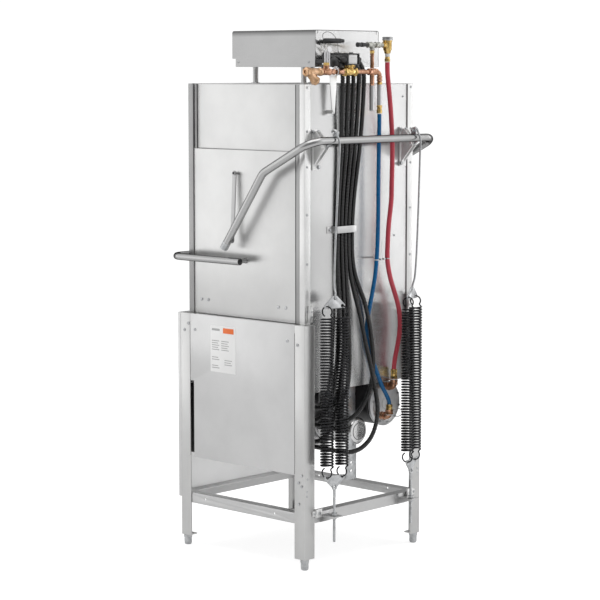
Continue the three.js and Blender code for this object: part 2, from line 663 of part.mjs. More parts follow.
// Riser with the vacuum breaker cap, the level pipe and the drop to the pipe run.
function vacuumBreaker() {
  const { x, z } = VACUUM_BREAKER;
  const { y } = PIPE_RUN;
  const dropX = -14;
  const farX = 66;
  return join(
    rod(11, [x, y, 1773], [x, y, z + 10], 14),
    rod(15, [x, y, 1796], [x, y, 1812], 6),
    rod(19, [x, y, z + 8], [x, y, z + 29], 20),
    rod(7, [x, y, z], [farX, y, z], 12),
    rod(12, [x + 8, y, z], [x + 34, y, z], 12),
    rod(12, [dropX - 13, y, z], [dropX + 13, y, z], 12),
    rod(7, [dropX, y, z], [dropX, y, PIPE_RUN.z + 12 + GAP], 12),
  );
}

// ---------------------------------------------------------------- hoses and conduits
const RED_HOSE = [[-96, 330, 1772], [-97, 330, 1735], [-108, 328, 1674], [-118, 326, 1620],
  [-126, 324, 1567], [-137, 320, 1478], [-139, 318, 1406], [-137, 318, 1342], [-136, 317, 1281],
  [-125, 315, 1192], [-121, 314, 1127], [-121, 313, 1070], [-131, 312, 1025], [-146, 311, 985],
  [-165, 311, 943], [-184, 311, 897], [-194, 311, 849], [-194, 310, 798], [-185, 308, 747],
  [-176, 305, 704], [-173, 303, 678], [-173, 302, 652]];
const BLUE_HOSE = [[-54, 330, 1590], [-54, 330, 1555], [-55, 328, 1498], [-55, 327, 1427],
  [-55, 326, 1338], [-55, 326, 1246], [-53, 325, 1139], [-50, 324, 1078], [-44, 321, 1011],
  [-37, 315, 954], [-33, 307, 906], [-31, 298, 858], [-31, 294, 812], [-39, 294, 768],
  [-56, 296, 719], [-79, 299, 666], [-108, 301, 608], [-132, 302, 573], [-146, 302, 548],
  [-148, 302, 524]];
const CONDUIT_RADIUS = 8.5;
const CONDUIT_START = { y: 228, z: 1790, bend: 72, straight: 8 };

// A conduit leaves the rear face of the control box level and turns down over the hood's edge.
function conduitStart(x) {
  const { y, z, bend, straight } = CONDUIT_START;
  const points = [[x, y, z], [x, y + straight, z]];
  for (let degrees = 15; degrees <= 90; degrees += 15) {
    const angle = (degrees * Math.PI) / 180;
    points.push([x, y + straight + bend * Math.sin(angle), z - bend * (1 - Math.cos(angle))]);
  }
  return points;
}

// Each conduit's place on the control box and its points from there to the electric box.
const CONDUITS = {
  conduit_1: [4, [[8, 305, 1600], [19, 301, 1467], [43, 297, 1292], [51, 296, 1188],
    [48, 296, 1080], [34, 296, 1022], [12, 297, 973], [-9, 300, 929], [-17, 309, 880],
    [-24, 314, 840], [-36, 313, 784], [-46, 313, 711], [-44, 311, 656], [-35, 305, 602],
    [-13, 296, 553], [22, 285, 515], [60, 262, 492], [90, 228, 481], [104, 185, 478],
    [104, 110, 478], [104, 20, 478], [104, -58, 478]]],
  conduit_2: [32, [[35, 305, 1600], [43, 301, 1467], [63, 297, 1292], [70, 296, 1188],
    [67, 296, 1080], [59, 297, 1022], [46, 300, 968], [32, 304, 918], [18, 312, 854],
    [4, 322, 771], [-11, 328, 709], [-28, 330, 642], [-45, 330, 578], [-51, 330, 527],
    [-42, 328, 473], [-17, 324, 429], [22, 316, 400], [62, 304, 390], [92, 280, 392],
    [110, 240, 398], [116, 190, 400], [116, 110, 400], [116, 20, 400], [116, -58, 400]]],
  conduit_3: [60, [[62, 305, 1600], [67, 301, 1467], [83, 297, 1292], [89, 296, 1188],
    [86, 296, 1085], [80, 298, 960], [74, 300, 860], [69, 301, 760], [69, 301, 690],
    [74, 300, 640], [80, 295, 602], [93, 282, 573], [107, 258, 555], [119, 226, 548],
    [128, 188, 546], [130, 145, 546], [130, 90, 546], [130, 20, 546], [130, -58, 546]]],
  conduit_4: [88, [[89, 305, 1600], [91, 301, 1467], [104, 297, 1292], [108, 296, 1188],
    [105, 296, 1085], [99, 298, 960], [96, 300, 860], [99, 301, 760], [112, 300, 660],
    [128, 296, 560], [146, 280, 480], [160, 242, 436], [166, 185, 430], [166, 110, 430],
    [166, 20, 430], [166, -58, 430]]],
  conduit_5: [116, [[116, 305, 1600], [115, 301, 1467], [124, 297, 1292], [127, 296, 1188],
    [128, 296, 1085], [124, 298, 960], [124, 300, 860], [130, 301, 760], [142, 300, 670],
    [152, 298, 612], [166, 288, 560], [182, 264, 524], [192, 228, 508], [196, 185, 504],
    [196, 130, 504], [196, 80, 504], [196, 20, 504], [196, -58, 504]]],
};

function addHosesAndConduits() {
  add('red_hose', tube(smoothRoute(RED_HOSE, 32), 8.5, 8), MATERIALS.redHose);
  add('blue_hose', tube(smoothRoute(BLUE_HOSE, 32), 7.5, 8), MATERIALS.blueHose);
  for (const [name, [x, points]] of Object.entries(CONDUITS)) {
    const route = [...conduitStart(x), ...points];
    add(name, tube(smoothRoute(route, 42), CONDUIT_RADIUS, 8), MATERIALS.conduit);
  }
}

// ---------------------------------------------------------------- heater, pump and electric box
// Drum lying front to rear, hung from the tank, with two elbows on its rear end.
function boosterTank() {
  const { x, z, radius, front, rear } = BOOSTER;
  const elbow = (ex, top, level) => tube(bentRoute([[ex, 302, top], [ex, 302, level],
    [ex, rear - 2, level]], 14, 3), 9, 8);
  const hanger = (y) => box(x - 55, x + 55, y - 10, y + 10, z + 40, TANK.bottom - GAP);
  return join(
    rod(radius, [x, front, z], [x, rear, z], 24),
    rod(radius + 3, [x, rear - 14, z], [x, rear - 6, z], 24),
    elbow(-173, 647.5, 598),
    elbow(-148, 520.5, 492),
    hanger(front + 40),
    hanger(rear - 60),
  );
}

// Motor and pump housing hung from the tank; a suction hole opens the pump's cavity to the front.
function pumpMotor() {
  const { x, z, radius, front, rear } = MOTOR;
  const underTank = TANK.bottom - GAP;
  const shell = join(
    rod(radius, [x, front, z], [x, rear, z], 28),
    rod(VOLUTE.radius, [x, VOLUTE.front, z], [x, VOLUTE.rear, z], 28),
    rod(34, [x, VOLUTE.rear - 2, z], [x, front + 2, z], 20),
    rod(18, [x - 40, 40, z + 20], [x - 40, 40, underTank], 16),
    box(x - 30, x + 30, 110, 116, z + 20, underTank),
    box(x - 30, x + 30, 200, 206, z + 20, underTank),
    box(x + 10, x + 66, rear - 6, rear - 3, z - 172, z),
  );
  const slot = box(x + 32, x + 42, rear - 20, rear + 20, z - 150, z - 80);
  const cavity = rod(VOLUTE.cavityRadius, [x, VOLUTE.front + 6, z], [x, VOLUTE.rear - 6, z], 28);
  const suction = rod(24, [x, VOLUTE.front - 20, z], [x, VOLUTE.front + 10, z], 20);
  return cut(shell, cavity, suction, slot);
}

// Closed pump wheel: a disc with six straight vanes.
function pumpImpeller() {
  const { x, z } = MOTOR;
  const back = VOLUTE.rear - 10;
  const pieces = [
    rod(52, [x, back - 4, z], [x, back, z], 24),
    rod(12, [x, back - 30, z], [x, back, z], 16),
  ];
  for (let i = 0; i < 6; i += 1) {
    const vane = box(8, 50, -1.5, 1.5, -24, 0);
    vane.rotateX(Math.PI / 2).rotateY((Math.PI * i) / 3).translate(x, back - 3 - 24, z);
    pieces.push(vane);
  }
  return join(...pieces);
}

function electricBox() {
  const { x0, x1, y0, y1, z0, z1 } = ELECTRIC_BOX;
  const shell = box(x0, x1, y0, y1, z0, z1);
  const cover = box(x0 + 8, x1 - 8, y1 - 3, y1 + 1.5, z0 + 8, z1 - 8);
  const stays = [box(x0 + 20, x0 + 60, y0 + 20, y1 - 20, z1 - 2, TANK.bottom - GAP),
    box(x1 - 60, x1 - 20, y0 + 20, y1 - 20, z1 - 2, TANK.bottom - GAP)];
  return join(shell, cover, ...stays);
}

// ---------------------------------------------------------------- put the pieces together
function addStand() {
  const corners = { front_right: [1, -1], front_left: [-1, -1], rear_right: [1, 1], rear_left: [-1, 1] };
  for (const [name, [sx, sy]] of Object.entries(corners)) {
    add(`leg_${name}`, leg(sx, sy), MATERIALS.stainless);
    add(`foot_${name}`, foot(sx, sy), MATERIALS.zincSteel);
    add(`post_${name}`, post(sx, sy), MATERIALS.stainless);
  }
  add('lower_frame', lowerFrame(), MATERIALS.stainless);
  add('side_skirt_right', sideSkirt(SKIRT.bottom), MATERIALS.stainless);
  add('side_skirt_left', mirrorX(sideSkirt(SKIRT.leftBottom)), MATERIALS.stainless);
  add('front_apron', frontApron(), MATERIALS.stainless);
  add('wash_tank', washTank(), MATERIALS.stainless);
}

function addHood() {
  add('rear_wall', rearWall(), MATERIALS.stainless);
  add('hood_top', hoodTop(), MATERIALS.stainless);
  addPair('upper_panel', upperSidePanel(), MATERIALS.stainless);
  add('rack_track', rackTrack(), MATERIALS.stainlessTube);
  addPair('door', sideDoor(), MATERIALS.stainless);
  add('door_front', frontDoor(), MATERIALS.stainless);
}

function addSprayArms() {
  add('lower_wash_arm', sprayArm(450, 46, 816, 832, 0.5), MATERIALS.stainless);
  add('lower_rinse_arm', sprayArm(420, 20, 838, 850, -0.6), MATERIALS.stainlessTube);
  add('upper_wash_arm', sprayArm(450, 46, 1636, 1652, 0.4), MATERIALS.stainless);
  add('upper_rinse_arm', sprayArm(420, 20, 1614, 1626, -0.5), MATERIALS.stainlessTube);
}

function addLift() {
  add('door_handle', doorHandle(), MATERIALS.stainlessTube);
  add('lift_arm', liftArm(), MATERIALS.stainlessTube);
  addPair('door_link', doorLink(), MATERIALS.zincSteel);
  addPair('pivot_bracket', pivotBracket(), MATERIALS.zincSteel);
  for (const [name, side] of [['right', 1], ['left', -1]]) {
    add(`spring_outer_${name}`, spring(side, false), MATERIALS.springSteel);
    add(`spring_inner_${name}`, spring(side, true), MATERIALS.springSteel);
    add(`spring_hanger_${name}`, springHanger(side), MATERIALS.zincSteel);
    add(`spring_anchor_${name}`, springAnchor(side), MATERIALS.zincSteel);
  }
}

function addControls() {
  add('control_box_cover', controlCover(), MATERIALS.stainless);
  add('control_box_base', controlBase(), MATERIALS.stainless);
  add('power_switch', powerSwitch(), MATERIALS.blackPlastic);
  add('start_button', startButton(), MATERIALS.greenButton);
}

function addWaterAndPump() {
  add('inlet_manifold', inletManifold(), MATERIALS.copper);
  add('vacuum_breaker', vacuumBreaker(), MATERIALS.brass);
  add('booster_tank', boosterTank(), MATERIALS.blackPaint);
  add('pump_motor', pumpMotor(), MATERIALS.greyPaint);
  add('pump_impeller', pumpImpeller(), MATERIALS.zincSteel);
  add('electric_box', electricBox(), MATERIALS.blackPaint);
}

addStand();
addHood();
addSprayArms();
addLift();
addControls();
addWaterAndPump();
addHosesAndConduits();

// The row's origin is the bottom centre of the whole object, handle and hangers included.
const bounds = new THREE.Box3().setFromObject(group);
const centre = bounds.getCenter(new THREE.Vector3());
group.position.set(-centre.x, -centre.y, -bounds.min.z);
group.updateMatrixWorld(true);

export default group;
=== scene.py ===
import json
import math

import bmesh
import bpy
import numpy as np
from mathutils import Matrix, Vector

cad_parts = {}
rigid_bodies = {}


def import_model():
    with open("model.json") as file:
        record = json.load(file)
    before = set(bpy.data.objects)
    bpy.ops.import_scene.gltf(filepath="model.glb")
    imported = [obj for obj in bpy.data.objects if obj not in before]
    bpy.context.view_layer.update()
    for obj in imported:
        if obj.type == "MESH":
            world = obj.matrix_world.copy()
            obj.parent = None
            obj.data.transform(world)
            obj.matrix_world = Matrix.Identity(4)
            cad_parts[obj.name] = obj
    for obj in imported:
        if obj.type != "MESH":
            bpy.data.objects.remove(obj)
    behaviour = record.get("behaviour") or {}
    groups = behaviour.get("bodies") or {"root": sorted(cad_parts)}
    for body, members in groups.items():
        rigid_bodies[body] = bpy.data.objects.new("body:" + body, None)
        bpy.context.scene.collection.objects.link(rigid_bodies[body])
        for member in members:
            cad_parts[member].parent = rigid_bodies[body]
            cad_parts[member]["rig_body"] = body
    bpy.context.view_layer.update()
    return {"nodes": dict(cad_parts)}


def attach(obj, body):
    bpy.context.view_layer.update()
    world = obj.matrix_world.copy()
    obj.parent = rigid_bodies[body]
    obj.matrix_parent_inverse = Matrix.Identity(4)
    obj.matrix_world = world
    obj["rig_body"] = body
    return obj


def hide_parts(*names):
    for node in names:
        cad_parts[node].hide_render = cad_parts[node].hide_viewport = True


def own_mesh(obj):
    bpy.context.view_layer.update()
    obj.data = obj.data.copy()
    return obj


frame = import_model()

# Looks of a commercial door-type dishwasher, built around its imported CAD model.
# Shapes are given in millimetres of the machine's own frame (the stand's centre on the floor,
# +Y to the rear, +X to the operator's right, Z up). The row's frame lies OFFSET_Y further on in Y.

OFFSET_Y = -0.02026
TO_RIGHT = (1, 0, 0)
TO_REAR = (0, 1, 0)
UP = (0, 0, 1)

# ---------------------------------------------------------------- sizes shared with the CAD
BASE_HALF = 311
BASE_TOP = 864.3
HOOD_HALF = 288
HOOD_TOP = 1697
WALL = 285                       # outer face of the rear wall
DOOR_FACE = 285.3                # outer face of the doors
PIPE_Y = 330
PIPE_Z = 1738
SHOCK_X = 224                    # centres of the inlet's fittings along the pipe
VALVE_X = 104
TEE_X = -14
ELBOW_X = -54
BREAKER = (-96, PIPE_Y, 1832)
ARM_SIDE = 333                   # the lift arm's and the handle's side runs, from the middle
ARM_CROSS = (360, 1503)          # y and z of the lift arm's cross tube
ARM_ELBOW = (ARM_SIDE, 131, 1388)
ARM_END = (ARM_SIDE, -62, 1115)
ARM_PIVOT = (234, 332, 1486)
EAR = (208, 360, 1529)
LINK_Y = -44                     # the door links' two bolts
LINK_LOW = 1141
LINK_HIGH = 1381
SPRING_X = 208                   # centre of a pair of springs
SPRING_Y = 356
SPRING_SPREAD = (30, 8)          # from the pair's centre to each spring, along x and y
SPRING_RADIUS = 24.5
SPRING_BOTTOM = 363
SPRING_TOP = 893
SPRING_HOLES = (327, 930)        # heights of the holes that the lower and upper loops hang in
BOX_FRONT = -181
BOX_REAR = 226
BOX_HALF = 169
BOX_BOTTOM = 1755
BOX_TOP = 1884
BOX_NOTCH = 1785                 # lower edge of the cover's front
BOX_STEP = 17                    # how far the front is set back below that edge
SWITCH_Z = 1830
BUTTON_X = 60
ROCKER_X = -60
CONDUIT_Z = 1790                 # where the conduits leave the control box
CABLE_X = 158                    # the cable joint behind the control box
CABLE_Y = 262
BOOSTER = (-190, 530)
BOOSTER_PIPES = ((-173, 647.5, 598), (-148, 520.5, 492))   # x, hose end and height of each elbow
BOOSTER_PIPE_Y = 302
TANK_FLOOR = 622                 # its underside
MOTOR = (-41, 445)


# ---------------------------------------------------------------- shapes
def to_row(point):
    return Vector((point[0] / 1000, point[1] / 1000 + OFFSET_Y, point[2] / 1000))


class Shape:
    """Vertices and faces of one piece, in millimetres of the machine's frame."""

    def __init__(self):
        self.verts = []
        self.faces = []

    def add(self, verts, faces):
        first = len(self.verts)
        self.verts += [Vector(v) for v in verts]
        self.faces += [[first + i for i in face] for face in faces]
        return self

    def take(self, bm):
        bm.verts.index_update()
        self.add([v.co for v in bm.verts], [[v.index for v in f.verts] for f in bm.faces])
        bm.free()
        return self

    def sweep(self, points, radii, sides=20, closed=False):
        """A round bar along points; radii is one number, or a list with one for each point."""
        points = [Vector(p) for p in points]
        if not isinstance(radii, list):
            radii = [radii] * len(points)
        count = len(points)
        if closed:
            steps = [points[(i + 1) % count] - points[i - 1] for i in range(count)]
        else:
            steps = [points[min(i + 1, count - 1)] - points[max(i - 1, 0)] for i in range(count)]
        tangents = [step.normalized() for step in steps]
        normal = tangents[0].orthogonal().normalized()
        verts = []
        for i, (point, tangent) in enumerate(zip(points, tangents)):
            if i:
                normal = tangents[i - 1].rotation_difference(tangent) @ normal
            across = tangent.cross(normal)
            for k in range(sides):
                angle = 2 * math.pi * k / sides
                verts.append(point + (normal * math.cos(angle) + across * math.sin(angle)) * radii[i])
        faces = []
        for i in range(count if closed else count - 1):
            a, b = i * sides, ((i + 1) % count) * sides
            faces += [[a + k, a + (k + 1) % sides, b + (k + 1) % sides, b + k] for k in range(sides)]
        if not closed:
            faces += [list(range(sides))[::-1], [(count - 1) * sides + k for k in range(sides)]]
        return self.add(verts, faces)

    def turned(self, profile, place, axis=(0, 0, 1), sides=32, turn=0.0):
        """A turned piece: profile lists (radius, height) along axis from place."""
        place, axis = Vector(place), Vector(axis).normalized()
        normal = axis.orthogonal().normalized()
        across = axis.cross(normal)
        verts, rings = [], []
        for radius, height in profile:
            centre = place + axis * height
            if radius < 1e-6:
                rings.append([len(verts)])
                verts.append(centre)
                continue
            rings.append(list(range(len(verts), len(verts) + sides)))
            for k in range(sides):
                angle = 2 * math.pi * k / sides + turn
                verts.append(centre + (normal * math.cos(angle) + across * math.sin(angle)) * radius)
        faces = []
        for a, b in zip(rings, rings[1:]):
            for k in range(sides):
                m = (k + 1) % sides
                if len(a) == 1 and len(b) == 1:
                    continue
                if len(a) == 1:
                    faces.append([a[0], b[m], b[k]])
                elif len(b) == 1:
                    faces.append([a[k], a[m], b[0]])
                else:
                    faces.append([a[k], a[m], b[m], b[k]])
        return self.add(verts, faces)

    def cylinder(self, radius, start, end, sides=32, chamfer=0.6):
        """A round bar between two points with a small chamfer at both ends."""
        axis = Vector(end) - Vector(start)
        length = axis.length
        profile = [(0, 0), (radius - chamfer, 0), (radius, chamfer),
                   (radius, length - chamfer), (radius - chamfer, length), (0, length)]
        return self.turned(profile, start, axis, sides)

    def nut(self, radius, start, end, turn=0.0):
        """A hexagonal nut with chamfered corners; radius reaches to its corners."""
        axis = Vector(end) - Vector(start)
        length = axis.length
        chamfer = radius * 0.09
        profile = [(0, 0), (radius * 0.88, 0), (radius, chamfer), (radius, length - chamfer),
                   (radius * 0.88, length), (0, length)]
        return self.turned(profile, start, axis, 6, turn)

    def ring(self, radius, wire, centre, axis):
        """A torus about axis."""
        axis = Vector(axis).normalized()
        normal = axis.orthogonal().normalized()
        across = axis.cross(normal)
        points = [Vector(centre) + (normal * a + across * b) * radius
                  for a, b in arc(0, 0, 1, 0, 2 * math.pi, 32)[:-1]]
        return self.sweep(points, wire, 12, closed=True)

    def box(self, low, high, bevel=0.8):
        bm = bmesh.new()
        bmesh.ops.create_cube(bm, size=1)
        low, high = Vector(low), Vector(high)
        for v in bm.verts:
            v.co = Vector(low[i] + (v.co[i] + 0.5) * (high[i] - low[i]) for i in range(3))
        if bevel:
            bmesh.ops.bevel(bm, geom=bm.edges[:], offset=bevel, segments=2, profile=0.5,
                            affect="EDGES")
        return self.take(bm)

    def plate(self, outline, axis, low, high, holes=(), bevel=0.5, windows=()):
        """A flat plate from low to high on axis, with round holes (a, b, radius) and windows."""
        place = {"X": lambda a, b, h: (h, a, b), "Y": lambda a, b, h: (a, h, b),
                 "Z": lambda a, b, h: (a, b, h)}[axis]
        loops = [outline, *windows]
        loops += [arc(a, b, radius, 0, 2 * math.pi, 20)[:-1] for a, b, radius in holes]
        bm = bmesh.new()
        for loop in loops:
            verts = [bm.verts.new(place(a, b, low)) for a, b in loop]
            for i, vert in enumerate(verts):
                bm.edges.new((vert, verts[(i + 1) % len(verts)]))
        bmesh.ops.triangle_fill(bm, edges=bm.edges[:], use_beauty=True)
        lifted = bmesh.ops.extrude_face_region(bm, geom=bm.faces[:])["geom"]
        shift = Vector(place(0, 0, high)) - Vector(place(0, 0, low))
        moved = [part for part in lifted if isinstance(part, bmesh.types.BMVert)]
        bmesh.ops.translate(bm, vec=shift, verts=moved)
        bmesh.ops.recalc_face_normals(bm, faces=bm.faces[:])
        bmesh.ops.dissolve_limit(bm, angle_limit=0.01, verts=bm.verts[:], edges=bm.edges[:])
        if bevel:
            sharp = [e for e in bm.edges if e.is_manifold and e.calc_face_angle(0) > 1.2]
            bmesh.ops.bevel(bm, geom=sharp, offset=bevel, segments=2, profile=0.5, affect="EDGES")
        return self.take(bm)

    def mirrored(self):
        """The same shape on the other side of the machine."""
        other = Shape()
        return other.add([(-v.x, v.y, v.z) for v in self.verts], [f[::-1] for f in self.faces])


def arc(a, b, radius, start, end, steps):
    """Points on a circle about (a, b), from one angle to another in equal steps."""
    angles = [start + (end - start) * k / steps for k in range(steps + 1)]
    return [(a + radius * math.cos(t), b + radius * math.sin(t)) for t in angles]


def bent(corners, radius):
    """A polyline whose inner corners are round bends."""
    steps = 14
    corners = [Vector(c) for c in corners]
    route = [corners[0]]
    for before, corner, after in zip(corners, corners[1:], corners[2:]):
        back, on = (before - corner).normalized(), (after - corner).normalized()
        half = (math.pi - back.angle(on)) / 2
        centre = corner + (back + on).normalized() * (radius / math.cos(half))
        start = corner + back * radius * math.tan(half) - centre
        end = corner + on * radius * math.tan(half) - centre
        turn = start.rotation_difference(end)
        for step in range(steps + 1):
            part = turn.copy()
            part.identity()
            route.append(centre + part.slerp(turn, step / steps) @ start)
    route.append(corners[-1])
    return route


def smooth(points, step):
    """Centripetal Catmull-Rom curve through the points, in even steps."""
    p = [np.array(q, float) for q in points]
    p = [2 * p[0] - p[1]] + p + [2 * p[-1] - p[-2]]
    fine = []
    for p0, p1, p2, p3 in zip(p, p[1:], p[2:], p[3:]):
        t1 = np.linalg.norm(p1 - p0) ** 0.5
        t2 = t1 + np.linalg.norm(p2 - p1) ** 0.5
        t3 = t2 + np.linalg.norm(p3 - p2) ** 0.5
        for t in np.linspace(t1, t2, 16, endpoint=False):
            a1 = (p0 * (t1 - t) + p1 * t) / t1
            a2 = (p1 * (t2 - t) + p2 * (t - t1)) / (t2 - t1)
            a3 = (p2 * (t3 - t) + p3 * (t - t2)) / (t3 - t2)
            b1 = (a1 * (t2 - t) + a2 * t) / t2
            b2 = (a2 * (t3 - t) + a3 * (t - t1)) / (t3 - t1)
            fine.append((b1 * (t2 - t) + b2 * (t - t1)) / (t2 - t1))
    fine.append(p[-2])
    return evenly(fine, step)


def evenly(points, step):
    """The same polyline with its points about step apart."""
    points = np.array(points, float)
    along = np.concatenate([[0], np.cumsum(np.linalg.norm(np.diff(points, axis=0), axis=1))])
    places = np.linspace(0, along[-1], max(2, round(along[-1] / step)) + 1)
    return [Vector([np.interp(s, along, points[:, k]) for k in range(3)]) for s in places]


# ---------------------------------------------------------------- materials
def grey(value):
    return (value, value, value)


class Look:
    """One procedural material: its principled shader and short ways to add nodes."""

    def __init__(self, name, color, roughness, metallic=0.0, **sockets):
        self.material = bpy.data.materials.new(name)
        self.material.use_nodes = True
        self.tree = self.material.node_tree
        self.shader = self.tree.nodes["Principled BSDF"]
        self.set(self.shader, Base_Color=(*color, 1), Roughness=roughness, Metallic=metallic, **sockets)

    def set(self, node, **values):
        for socket, value in values.items():
            node.inputs[socket.replace("_", " ")].default_value = value
        return node

    def node(self, kind, **values):
        return self.set(self.tree.nodes.new(kind), **values)

    def link(self, output, node, socket):
        self.tree.links.new(output, node.inputs[socket])

    def noise(self, scale, stretch=(1, 1, 1), detail=4.0):
        """Noise in the object's own metres; stretch divides its scale on each axis."""
        place = self.node("ShaderNodeTexCoord")
        mapping = self.node("ShaderNodeMapping", Scale=[scale / s for s in stretch])
        self.link(place.outputs["Object"], mapping, "Vector")
        noise = self.node("ShaderNodeTexNoise", Scale=1.0, Detail=detail, Roughness=0.55)
        self.link(mapping.outputs["Vector"], noise, "Vector")
        return noise.outputs["Fac"]

    def range(self, value, low, high, start=0.3, end=0.7):
        """The value, taken from start to end onto low to high."""
        ranged = map_range(self.tree, low, high, start, end)
        self.link(value, ranged, "Value")
        return ranged.outputs["Result"]

    def colors(self, value, first, second, start=0.35, end=0.65):
        """Blends the base colour from first to second over value."""
        ramp = self.node("ShaderNodeValToRGB")
        ramp.color_ramp.elements[0].position = start
        ramp.color_ramp.elements[0].color = (*first, 1)
        ramp.color_ramp.elements[1].position = end
        ramp.color_ramp.elements[1].color = (*second, 1)
        self.link(value, ramp, "Fac")
        self.link(ramp.outputs["Color"], self.shader, "Base Color")

    def paint_shade_above(self, low, high, share):
        """Paints shade: darkens the base colour down to a share of itself between two heights, in
        metres.
        """
        place = self.node("ShaderNodeTexCoord")
        parts = self.node("ShaderNodeSeparateXYZ")
        self.link(place.outputs["Object"], parts, "Vector")
        self.shaded(self.range(parts.outputs["Z"], 1.0, share, low, high))

    def shaded(self, share):
        """Multiplies the base colour by a value."""
        factor, first_color, second_color, result = 0, 6, 7, 2
        mix = self.node("ShaderNodeMix")
        mix.data_type = "RGBA"
        mix.blend_type = "MULTIPLY"
        mix.inputs[factor].default_value = 1.0
        self.link(self.shader.inputs["Base Color"].links[0].from_socket, mix, first_color)
        self.link(share, mix, second_color)
        self.link(mix.outputs[result], self.shader, "Base Color")

    def rough(self, value, low, high):
        self.link(self.range(value, low, high), self.shader, "Roughness")

    def bump(self, value, strength, distance):
        """Adds bumps of a value, on top of those that are there."""
        bump = self.node("ShaderNodeBump", Strength=strength, Distance=distance)
        self.link(value, bump, "Height")
        earlier = self.shader.inputs["Normal"].links
        if earlier:
            self.link(earlier[0].from_socket, bump, "Normal")
        self.link(bump.outputs["Normal"], self.shader, "Normal")


def map_range(tree, low, high, start, end):
    ranged = tree.nodes.new("ShaderNodeMapRange")
    for socket, number in (("From Min", start), ("From Max", end), ("To Min", low), ("To Max", high)):
        ranged.inputs[socket].default_value = number
    return ranged


def brushed(name, color, roughness, grain, spread=0.05, bump=0.12, drawn=0.7, edge=1.0, top=None):
    """Stainless sheet or tube: fine grain drawn out along one axis, with faint cloudy wear.

    The grain spreads the roughness and drawn stretches its gloss. edge is the grey that the metal
    takes on at its outline, and top (low, high, share) paints shade onto it between two heights."""
    look = Look(name, color, roughness, 1.0, Anisotropic=drawn, Specular_Tint=(*grey(edge), 1),
                Anisotropic_Rotation=0.0 if grain == "Z" else 0.25)
    stretch = [60 if axis == grain else 1 for axis in "XYZ"]
    lines = look.noise(1500, stretch, 3.0)
    clouds = look.noise(7, detail=5.0)
    waves = look.noise(2.2, detail=1.0)
    darker = [c * 0.93 for c in color]
    look.colors(clouds, darker, color, 0.3, 0.62)
    look.rough(lines, roughness - spread, roughness + spread)
    look.bump(lines, bump, 0.00012)
    look.bump(waves, 0.25, 0.004)
    # painted shade: the base colour darkens between two heights
    if top:
        look.paint_shade_above(*top)
    return look.material


def metal(name, first, second, roughness, grit=500, bump=0.25, cloud=60):
    """Cast, plated or tarnished metal: two colours in patches, uneven gloss and fine grit."""
    look = Look(name, first, roughness, 1.0)
    patches = look.noise(cloud, detail=6.0)
    look.colors(patches, first, second)
    look.rough(patches, roughness - 0.08, roughness + 0.14)
    look.bump(look.noise(grit, detail=3.0), bump, 0.0002)
    return look.material


def coated(name, first, second, roughness, grit=900, bump=0.2, **sockets):
    """Paint, plastic or rubber: a little colour drift, uneven gloss and a fine skin."""
    look = Look(name, first, roughness, **sockets)
    look.colors(look.noise(25, detail=5.0), first, second)
    look.rough(look.noise(100, detail=4.0), roughness - 0.06, roughness + 0.1)
    look.bump(look.noise(grit, detail=3.0), bump, 0.00015)
    return look.material


PANEL = brushed("panel_steel", (0.73, 0.73, 0.725), 0.33, "Z")
BASE_PANEL = brushed("base_steel", grey(0.7), 0.36, "Z")
WALL_STEEL = brushed("rear_wall_steel", grey(0.65), 0.24, "Z", 0.03, 0.08, 0.9)
LEG_STEEL = brushed("leg_steel", (0.66, 0.66, 0.655), 0.33, "Z", 0.04, 0.1, 0.6)
RAIL_STEEL = brushed("rail_steel", grey(0.6), 0.36, "X")
COVER_STEEL = brushed("cover_steel", grey(0.55), 0.3, "X")
# the cover's sides and top bend take painted shade, darkening from 1.862 m and darkest from 1.88 m up
COVER_SIDE = brushed("cover_side_steel", grey(0.44), 0.32, "Y", top=(1.862, 1.88, 0.4))
TUBE_STEEL = brushed("tube_steel", grey(0.5), 0.2, "X", 0.04, 0.06, 0.0, 0.0)
MOTOR_METAL = brushed("motor_metal", grey(0.72), 0.2, "Y", 0.04, 0.06, 0.0, 0.0)
BRACKET_STEEL = brushed("bracket_steel", (0.85, 0.85, 0.845), 0.42, "Z", 0.04, 0.1, 0.0)
LINK_STEEL = brushed("link_steel", grey(0.5), 0.36, "Z", 0.04, 0.1, 0.0)
POST_STEEL = brushed("post_steel", (0.78, 0.78, 0.775), 0.3, "Z")
# a darker copy of the posts' steel with shade painted in, for the front posts and the door recesses
SHADED_POST_STEEL = brushed("post_steel_painted_shade", grey(0.4), 0.34, "Z")
ZINC = metal("zinc_plate", (0.62, 0.63, 0.64), (0.45, 0.46, 0.47), 0.3)
BLACK_STEEL = metal("black_spring_steel", (0.05, 0.05, 0.053), (0.025, 0.025, 0.027), 0.22, 700, 0.2)
COPPER = metal("copper", (0.66, 0.37, 0.25), (0.34, 0.17, 0.09), 0.24, 300, 0.2, 45)
BRASS = metal("brass", (0.86, 0.62, 0.24), (0.5, 0.32, 0.1), 0.22, 600, 0.4, 90)
BRONZE = metal("bronze", (0.72, 0.47, 0.3), (0.46, 0.28, 0.15), 0.33, 260, 0.7, 60)
GALVANISED = metal("galvanised", (0.6, 0.6, 0.56), (0.36, 0.36, 0.33), 0.4, 400, 0.5, 120)
CAST_GREY = metal("cast_alloy", grey(0.72), (0.6, 0.6, 0.61), 0.34, 300, 0.3, 20)
CONDUIT_BLACK = coated("conduit_black", (0.003, 0.003, 0.0035), (0.006, 0.006, 0.007), 0.13,
                       bump=0.05, Specular_IOR_Level=0.8)
BLACK_PLASTIC = coated("black_plastic", (0.014, 0.014, 0.015), (0.03, 0.03, 0.032), 0.42)
BLACK_PAINT = coated("black_paint", (0.018, 0.018, 0.019), (0.03, 0.03, 0.032), 0.4, 250, 0.3)
WHITE_PLASTIC = coated("white_plastic", grey(0.82), (0.74, 0.74, 0.75), 0.35)
